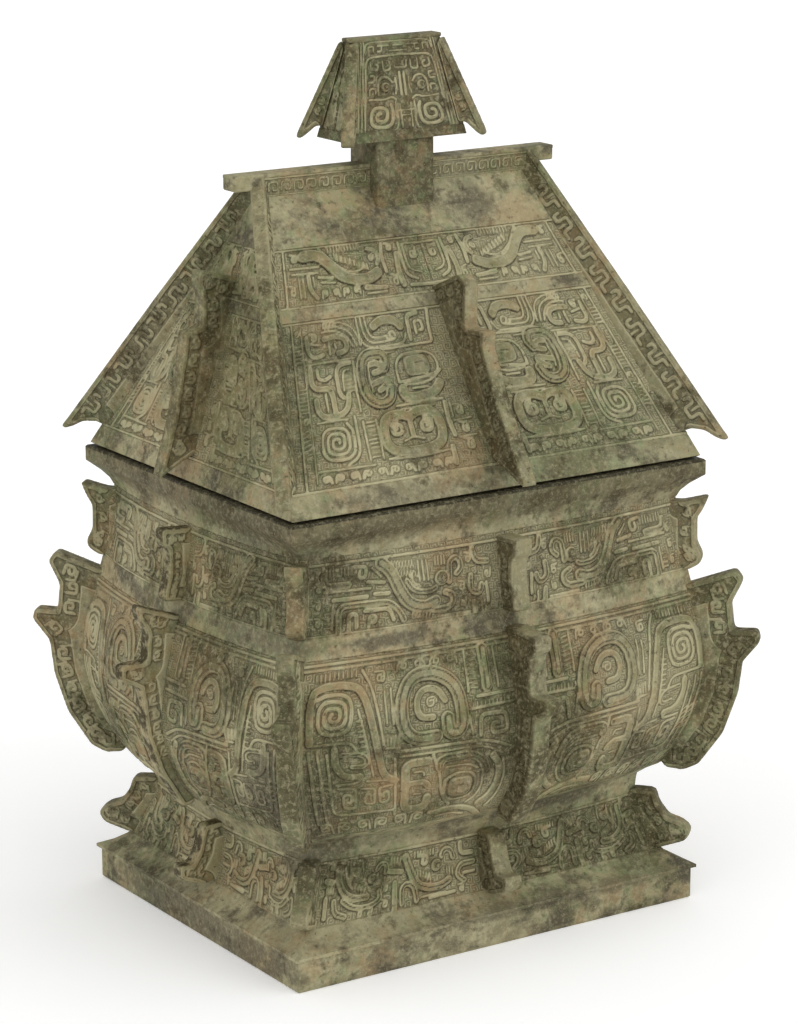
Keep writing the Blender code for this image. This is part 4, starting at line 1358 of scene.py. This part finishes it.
def spread(nodes, place, spots, uneven):
    """How strongly any of these spots marks a place; uneven frays their borders."""
    found = 0.0
    for *spot, strength in spots:
        middle, reach = spot[:3], spot[3:]
        scale = tuple(1.0 / (part * UNIT) for part in reach)
        shift = tuple(-centre / part for centre, part in zip(middle, reach))
        offset = nodes.add("ShaderNodeVectorMath", {"operation": "MULTIPLY_ADD"}, {
            0: place, 1: scale, 2: shift})
        gap = nodes.add("ShaderNodeVectorMath", {"operation": "LENGTH"}, {0: offset}, "Value")
        mark = (gap + uneven).step(1.25, 0.35) * strength
        found = mark if found == 0.0 else mark.math("MAXIMUM", found)
    return found


def thunder_ground(nodes, flat):
    """Raised lines of small squared spirals, brick-laid, every other one turned."""
    x, y, _ = nodes.split(flat)
    wobble = nodes.noise(flat, 0.35, 2.0)
    x = x / SPIRAL_PITCH + wobble * 0.35
    y = y / SPIRAL_PITCH + wobble * 0.25
    row = y.math("FLOOR")
    x = x + row * 0.5
    column = x.math("FLOOR")
    turned = (column + row).math("MODULO", 2.0).math("ABSOLUTE")
    turned = turned * 2.0 - 1.0
    across = x.math("FRACT") - 0.5
    up = y.math("FRACT") - 0.5
    reach = across.math("ABSOLUTE").math("MAXIMUM", up.math("ABSOLUTE")) * 2.0
    angle = up.math("ARCTAN2", across) / (2.0 * pi)
    winding = (reach * 1.9 - angle * turned).math("FRACT")
    return (winding - 0.5).math("ABSOLUTE").step(0.15, 0.33)


def bronze(name, finish, carved=False, ground=False, green=0.45, warm=0.45, stain=0.5, shade=0.45,
           deep=0.0, sides=0.0, front=0.0):
    """Weathered bronze: an olive patina, pale on its edges and grimy in its lines, with a painted highlight
    on borders that face up and painted shade under the raised bands.

    green, warm, stain and shade set how much corrosion of each kind shows. deep browns the
    whole surface, or lightens it below 0. sides browns the flat faces of a flange as painted
    shade, and front mottles its outer edge.
    """
    nodes = Nodes(name)
    place = nodes.add("ShaderNodeTexCoord", {}, {}, "Object")
    clouds = nodes.noise(place, 17.0, 3.0)
    drift = nodes.noise(place, 30.0, 3.0, 0.6, 1.7)
    haze = nodes.noise(place, 38.0, 3.0, 0.6, 5.3)
    patches = nodes.noise(place, 70.0, 4.0, 0.62)
    blots = nodes.noise(place, 160.0, 4.0, 0.62)
    specks = nodes.noise(place, 210.0, 3.0, 0.6, 3.1)
    flecks = nodes.noise(place, 250.0, 3.0, 0.6, 7.9)
    grit = nodes.noise(place, 480.0, 3.0, 0.65)
    grain = nodes.noise(place, 1300.0, 2.0, 0.6)

    base = [
        tuple(a + (b - a) * deep for a, b in zip(tone, finish.brown))
        for tone in (finish.olive, finish.haze)]
    colour = nodes.mix((drift * 0.5 + blots * 0.5).step(0.42, 0.60), *base)
    dusty = (patches * 0.3 + blots * 0.4 + grit * 0.3).step(0.42, 0.60)
    uneven = (patches - 0.5) * 2.6 + (blots - 0.5) * 2.2
    level = nodes.split(place)[2] / UNIT
    # A dark line where the lid sits on the rim: grime in the gap, and the gap's painted shadow.
    seam_grime_and_shadow = (level + (blots - 0.5) * 1.2 - (RIM_TOP + 0.15)).math("ABSOLUTE").step(1.3, 0.8)
    under_rim = level.step(168.0, 177.0) * level.step(186.0, 183.5)
    # The height of the surface for the bump, in metres.
    height = grain * 0.00014 + grit * 0.00032 + blots * 0.00040
    if carved:
        bold = nodes.field("bold")
        edge = nodes.field("edge") + (grit - 0.5) * 0.45 + (blots - 0.5) * 0.50
        # 1 on borders that face up and 0 on borders that face down; with it the carving is painted as if
        # lit from above.
        lit_from_above = nodes.field("tilt") * 0.5 + 0.5
        raised = edge.step(-0.24, 0.18)
        lines = nodes.field("cut").step(0.48, 0.16) * raised
        # A pale line along each band's border, strongest where the border faces up: pale earth, and a
        # painted highlight.
        crest = edge.step(-0.05, 0.22) * edge.step(0.85, 0.40) * (lit_from_above * 0.7 + 0.3)
        # A dark rim just outside each band, strongest under it: grime, and painted shade.
        foot = edge.step(0.02, -0.16) * edge.step(-0.85, -0.34) * (1.0 - lit_from_above * 0.8)
        height = height + raised * 0.00050 - lines * 0.00040
        # Dark in the cut lines and in the rim round the bands, where painted shade joins the grime.
        dirt_and_shade_amount = (lines * 0.82).math("MAXIMUM", foot * (bold * 0.55 + 0.75))
        dust = (0.72 + dusty * 0.36) * crest + raised * (dusty * 0.12 + (1.0 - bold) * 0.22)
        # Pale on a flange's rounded edges: wear, and a painted highlight.
        dust = dust + nodes.field("arris") * (dusty * 0.45 + 0.15)
        if ground:
            spirals = thunder_ground(nodes, nodes.field("flat", "Vector"))
            in_ground = edge.step(-0.20, -0.60)
            height = height + spirals * in_ground * 0.00026
            dirt_and_shade_amount = dirt_and_shade_amount.math("MAXIMUM", (1.0 - spirals) * in_ground * (0.24 + shade * 0.48))
            dust = dust + in_ground * (0.20 + dusty * 0.26 + spirals * 0.22)
        else:
            # Painted shade on a flange's flat faces, set by sides, and mottling on its outer edge, set by
            # front.
            side = nodes.field("side")
            side = side * sides + (1.0 - side) * blots.step(0.37, 0.53) * front
            dirt_and_shade_amount = dirt_and_shade_amount.math("MAXIMUM", (1.0 - raised) * (0.22 + deep * 1.5))
        dirt_and_shade_amount = dirt_and_shade_amount * (0.30 + blots * 1.10)
        dust = dust * (1.0 - lines * 0.8)
    else:
        smear = nodes.noise(place, 44.0, 5.0, 0.65, 0.9, (1.0, 1.0, 1.8))
        dust = (patches * 0.6 + blots * 0.4).step(0.42, 0.58) * 0.44 + 0.34
        dirt_and_shade_amount = (patches * 0.25 + blots * 0.45 + grit * 0.30).step(0.48, 0.62) * 0.42
    coats = [
        (dust * (1.0 - deep), "dust"),
        ((clouds * 0.4 + drift * 0.6).step(0.52, 0.40) * 0.30, "dust"),
        ((haze * 0.7 + specks * 0.3).step(0.48, 0.60) * warm, "cuprite"),
        ((clouds * 0.6 + flecks * 0.4).step(0.48, 0.60) * green, "malachite"),
        (dirt_and_shade_amount, "dirt"),
        ((clouds * 0.55 + patches * 0.45).step(0.50, 0.60) * shade, "brown"),
        ((drift * 0.5 + blots * 0.5).step(0.53, 0.64) * (shade + 0.1), "brown"),
        (spread(nodes, place, OCHRES, uneven) * 0.60, "cuprite"),
        (spread(nodes, place, STAINS_AND_SHADE, uneven) * 0.80, "soot"),
    ]
    if ground:
        coats += [
            ((clouds * 0.7 + drift * 0.3).step(0.46, 0.60) * (shade * 1.2 - 0.25), "brown"),
            ((clouds * 0.7 + haze * 0.3).step(0.50, 0.38) * 0.16, "dust"),
        ]
    if not carved:
        coats += [
            ((smear * 0.7 + patches * 0.3).step(0.47, 0.64) * stain, "soot"),
            (under_rim * 0.62, "brown"),
            (seam_grime_and_shadow * 0.97, "dirt"),
        ]
    elif not ground:
        coats.append((side, "brown"))
    pits = grit.step(0.60, 0.72)
    fine = 1.0 if carved else 0.6
    coats += [
        (pits * (0.60 * fine), "dirt"),
        (grain.step(0.54, 0.74) * 0.28, "dust"),
        ((1.0 - grit).step(0.50, 0.66) * (0.34 * fine), "dust"),
    ]
    for amount, tone in coats:
        colour = nodes.mix(amount, colour, tuple(getattr(finish, tone)))
    height = height - pits * 0.00022
    bump = nodes.add("ShaderNodeBump", {}, {"Strength": 1.0, "Distance": 1.0, "Height": height}, "Normal")
    nodes.surface(Base_Color=colour, Roughness=0.58 + dusty * 0.22, Normal=bump, Metallic=0.08,
                  Specular_IOR_Level=0.22)
    return nodes.material


def pale_floor(finish):
    nodes = Nodes("pale_floor")
    place = nodes.add("ShaderNodeTexCoord", {}, {}, "Object")
    mottle = nodes.noise(place, 3.0, 2.0)
    shade = tuple(finish.floor)
    colour = nodes.mix(mottle, shade, tuple(0.99 * part for part in shade))
    nodes.surface(Base_Color=colour, Roughness=0.9, Specular_IOR_Level=0.1,
                  Emission_Color=(1.0, 1.0, 1.0), Emission_Strength=0.17)
    return nodes.material


FINISHES = {
    "carved_bronze": dict(carved=True, ground=True, green=0.48, warm=0.52, shade=0.54, deep=0.04),
    "carved_lid_bronze": dict(carved=True, ground=True, green=0.46, warm=0.36, shade=0.36, deep=-0.10),
    "carved_knob_bronze": dict(carved=True, green=0.45, warm=0.40, shade=0.75, deep=0.28),
    # Flanges, with a little painted shade on their flat faces.
    "flange_bronze": dict(
        carved=True, green=0.40, warm=0.50, shade=0.70, deep=0.10, sides=0.15, front=0.40),
    # A lighter copy of the flange bronze, painted as if lit.
    "bright_flange_bronze": dict(
        carved=True, green=0.25, warm=0.40, shade=0.25, deep=-0.25, front=1.0),
    # A darker copy of the flange bronze, with strong painted shade on its flat faces.
    "shaded_flange_bronze": dict(
        carved=True, green=0.35, warm=0.50, shade=0.80, deep=0.10, sides=0.66, front=0.20),
    "plain_bronze": dict(green=0.45, warm=0.40, stain=0.88, shade=0.55),
    "dark_bronze": dict(green=0.40, warm=0.35, stain=0.25, shade=0.50, deep=0.90),
}


def finishes():
    """The materials, made once and then found by name."""
    found = bpy.data.materials
    for name, mixture in FINISHES.items():
        if name not in found:
            bronze(name, bpy.context.scene.fangyi_finish, **mixture)
    return found


# ---- operators

class FANGYI_OT_body(bpy.types.Operator):
    """Cast the foot, belly, neck and rim in one piece"""
    bl_idname = "fangyi.body"
    bl_label = "Body"

    def execute(self, context):
        finish_piece(make_body(), "body", "vessel", "plain_bronze", smooth_angle=50.0)
        return {"FINISHED"}


class FANGYI_OT_walls(bpy.types.Operator):
    """Carve the beast masks, dragons and birds of the body"""
    bl_idname = "fangyi.walls"
    bl_label = "Carved walls"

    def execute(self, context):
        for name, panel in BODY_PANELS.items():
            carve(name, TURNS, panel, "vessel", "carved_bronze")
        return {"FINISHED"}


class FANGYI_OT_body_flanges(bpy.types.Operator):
    """Cast the flanges on the corners and in the middle of the walls"""
    bl_idname = "fangyi.body_flanges"
    bl_label = "Body flanges"

    def execute(self, context):
        shape = context.scene.fangyi_shape
        kinds = [(foot_flange, "foot"), (belly_flange, "belly"), (neck_flange, "neck")]
        kinds = [(outline, SCROLLS[zone]) for outline, zone in kinds]
        plates = []
        for outline, scroll in kinds:
            # A corner flange stands on the diagonal, so its distances grow by the root of 2.
            across = [[(out * sqrt(2.0), height) for out, height in line] for line in outline("corner")]
            plates.append(cast_plate(across, shape.corner_flange, scroll))
        place = upright((0.0, SIDE_DIFFERENCE, 0.0), (-1.0, -1.0, 0.0), UP)
        set_round(joined(plates), place, CORNERS, "corner_flange", "vessel", "flange_bronze")
        # The long walls' middle flanges take the copy with strong painted shade, the short walls' the
        # lighter copy painted as if lit.
        for side, direction, finish, thinner, finer in (
                ("long", (0.0, -1.0, 0.0), "shaded_flange_bronze", 1.0, 1.0),
                ("short", (-1.0, 0.0, 0.0), "bright_flange_bronze", SHORT_FLANGE, SHORT_SCROLL)):
            thickness = shape.centre_flange * thinner
            plates = [cast_plate(outline(side), thickness, scroll * finer) for outline, scroll in kinds]
            place = upright((0.0, 0.0, 0.0), direction, UP)
            set_round(joined(plates), place, OPPOSITE, f"{side}_wall_flange", "vessel", finish)
        return {"FINISHED"}


class FANGYI_OT_lid(bpy.types.Operator):
    """Cast the lid's roof with its ridge and stem"""
    bl_idname = "fangyi.lid"
    bl_label = "Lid"

    def execute(self, context):
        finish_piece(make_lid(), "roof", "lid", "plain_bronze", smooth_angle=30.0)
        half_bar, bar_y, bar_height = RIDGE_BAR
        under, top = RIDGE_TOP - bar_height, RIDGE_TOP - 0.5
        inner = RIDGE_FOOT[1] - 2.0
        bar = joined([
            make_block((-half_bar, -bar_y, under), (-inner, bar_y, top)),
            make_block((inner, -bar_y, under), (half_bar, bar_y, top)),
            make_block((-half_bar, -bar_y, RIDGE_TOP - RIDGE_EDGE), (half_bar, bar_y, RIDGE_TOP),
                       soften=0.4),
        ])
        finish_piece(bar, "ridge_bar", "lid", "plain_bronze", smooth_angle=50.0)
        stem = make_block((-STEM[0], -STEM[1], RIDGE_FOOT[0] - 8.0), (STEM[0], STEM[1], KNOB_BASE[0] + 2.0))
        finish_piece(stem, "stem", "lid", "dark_bronze", smooth_angle=50.0)
        return {"FINISHED"}


class FANGYI_OT_slopes(bpy.types.Operator):
    """Carve the masks and dragons on the lid's slopes"""
    bl_idname = "fangyi.slopes"
    bl_label = "Carved slopes"

    def execute(self, context):
        for name, panel in ROOF_PANELS.items():
            carve(name, TURNS, panel, "lid", "carved_lid_bronze")
        carve("ridge", LONG_SIDES, RIDGE_PANEL, "lid", "carved_lid_bronze")
        return {"FINISHED"}


class FANGYI_OT_lid_flanges(bpy.types.Operator):
    """Cast the flanges on the lid's hips and slopes"""
    bl_idname = "fangyi.lid_flanges"
    bl_label = "Lid flanges"

    def execute(self, context):
        shape = context.scene.fangyi_shape
        foot, outward, rising, length = hip_frame(EAVES, RIDGE_FOOT)
        hip = cast_plate(hip_flange(length), shape.hip_flange, SCROLLS["hip"], broad=True)
        place = upright(foot, outward, rising)
        set_round(hip, place, CORNERS, "hip_flange", "lid", "flange_bronze")
        shift = shape.flange_shift
        # The long slopes' middle flanges take the copy with strong painted shade.
        for side, direction, offset, finish in (
                ("long", (0.0, -1.0, 0.0), (shift, 0.0, 0.0), "shaded_flange_bronze"),
                ("short", (-1.0, 0.0, 0.0), (0.0, shift, 0.0), "flange_bronze")):
            middle = cast_plate(roof_flange(side), shape.roof_flange, SCROLLS["slope"])
            place = upright(offset, direction, UP)
            set_round(middle, place, OPPOSITE, f"{side}_slope_flange", "lid", finish)
        return {"FINISHED"}


class FANGYI_OT_knob(bpy.types.Operator):
    """Cast the roof-shaped knob"""
    bl_idname = "fangyi.knob"
    bl_label = "Knob"

    def execute(self, context):
        shape = context.scene.fangyi_shape
        base, top = KNOB_BASE, KNOB_TOP
        levels = sunk_levels(knob_size, [base[0], top[0] - 0.4], step=8.0, panels=[KNOB_PANEL])
        finish_piece(shell(levels, steps=2), "knob", "lid", "dark_bronze")
        carve("knob", TURNS, KNOB_PANEL, "lid", "carved_knob_bronze")
        end, edge = top[1] + 1.0, top[2] + 0.4
        bar = make_block((-end, -edge, top[0] - 1.6), (end, edge, top[0]), soften=0.5)
        finish_piece(bar, "knob_ridge", "lid", "dark_bronze", smooth_angle=50.0)
        foot, outward, rising, length = hip_frame(base, top)
        hip = cast_plate(knob_hip(length), shape.knob_flange, SCROLLS["knob"], voxel=0.6)
        place = upright(foot, outward, rising)
        set_round(hip, place, CORNERS, "knob_flange", "lid", "flange_bronze")
        return {"FINISHED"}


class FANGYI_OT_stage(bpy.types.Operator):
    """Set the floor, the lights and the camera"""
    bl_idname = "fangyi.stage"
    bl_label = "Stage"

    def execute(self, context):
        scene = context.scene
        clear_selection()
        bpy.ops.mesh.primitive_grid_add(x_subdivisions=8, y_subdivisions=8, size=14.0)
        floor = bpy.context.object
        floor.name = "floor"
        floor.data.materials.append(pale_floor(scene.fangyi_finish))
        world = bpy.data.worlds.new("studio")
        scene.world = world
        world.use_nodes = True
        background = world.node_tree.nodes["Background"]
        background.inputs["Color"].default_value = (1.0, 1.0, 1.0, 1.0)
        background.inputs["Strength"].default_value = 0.70
        lights = (
            ("overhead", (0.35, -0.45, 1.0), 0.66, 80.0),
            ("front", (0.35, -1.0, 0.45), 0.50, 50.0),
            ("left", (-1.0, -0.30, 0.50), 0.50, 60.0),
        )
        for name, place, power, spread in lights:
            lamp = bpy.data.lights.new(name, "SUN")
            lamp.energy = power
            lamp.angle = radians(spread)
            light = bpy.data.objects.new(name, lamp)
            scene.collection.objects.link(light)
            light.matrix_world = Vector(place).to_track_quat("Z", "Y").to_matrix().to_4x4()
        place_camera(scene)
        scene.view_settings.view_transform = "Standard"
        return {"FINISHED"}


def place_camera(scene):
    """Three-quarter view from the front left, a little above."""
    azimuth, elevation, roll = radians(-33.23), radians(14.49), radians(0.142)
    back = Vector((sin(azimuth) * cos(elevation), -cos(azimuth) * cos(elevation), sin(elevation)))
    right = Vector((cos(azimuth), sin(azimuth), 0.0))
    rise = back.cross(right)
    lens = bpy.data.cameras.new("camera")
    lens.sensor_fit = "VERTICAL"
    lens.sensor_height = 36.0
    lens.lens = 125.0
    lens.shift_x = 0.0055
    lens.shift_y = -0.0014
    lens.clip_end = 40.0
    camera = bpy.data.objects.new("camera", lens)
    scene.collection.objects.link(camera)
    turn = Matrix((right, rise, back)).transposed().to_4x4()
    aim, distance = Vector((0.0, 0.0, 0.1598)), 1.4239
    place = aim + back * distance
    camera.matrix_world = Matrix.Translation(place) @ turn @ Matrix.Rotation(-roll, 4, "Z")
    scene.camera = camera


OPERATORS = (
    FANGYI_OT_body, FANGYI_OT_walls, FANGYI_OT_body_flanges, FANGYI_OT_lid, FANGYI_OT_slopes,
    FANGYI_OT_lid_flanges, FANGYI_OT_knob, FANGYI_OT_stage,
)


class FANGYI_PT_panel(bpy.types.Panel):
    """Sizes, colours and steps of the vessel"""
    bl_idname = "FANGYI_PT_panel"
    bl_label = "Fangyi"
    bl_space_type = "VIEW_3D"
    bl_region_type = "UI"
    bl_category = "Fangyi"

    def draw(self, context):
        column = self.layout.column()
        for group in (context.scene.fangyi_shape, context.scene.fangyi_finish):
            for key in group.__annotations__:
                column.prop(group, key)
        for operator in OPERATORS:
            column.operator(operator.bl_idname)


CLASSES = (FangyiShape, FangyiFinish, *OPERATORS, FANGYI_PT_panel)


def register():
    for cls in CLASSES:
        bpy.utils.register_class(cls)
    bpy.types.Scene.fangyi_shape = bpy.props.PointerProperty(type=FangyiShape)
    bpy.types.Scene.fangyi_finish = bpy.props.PointerProperty(type=FangyiFinish)


def unregister():
    del bpy.types.Scene.fangyi_finish
    del bpy.types.Scene.fangyi_shape
    for cls in reversed(CLASSES):
        bpy.utils.unregister_class(cls)


def main():
    register()
    for operator in OPERATORS:
        group, name = operator.bl_idname.split(".")
        getattr(getattr(bpy.ops, group), name)()


if __name__ == "__main__":
    main()
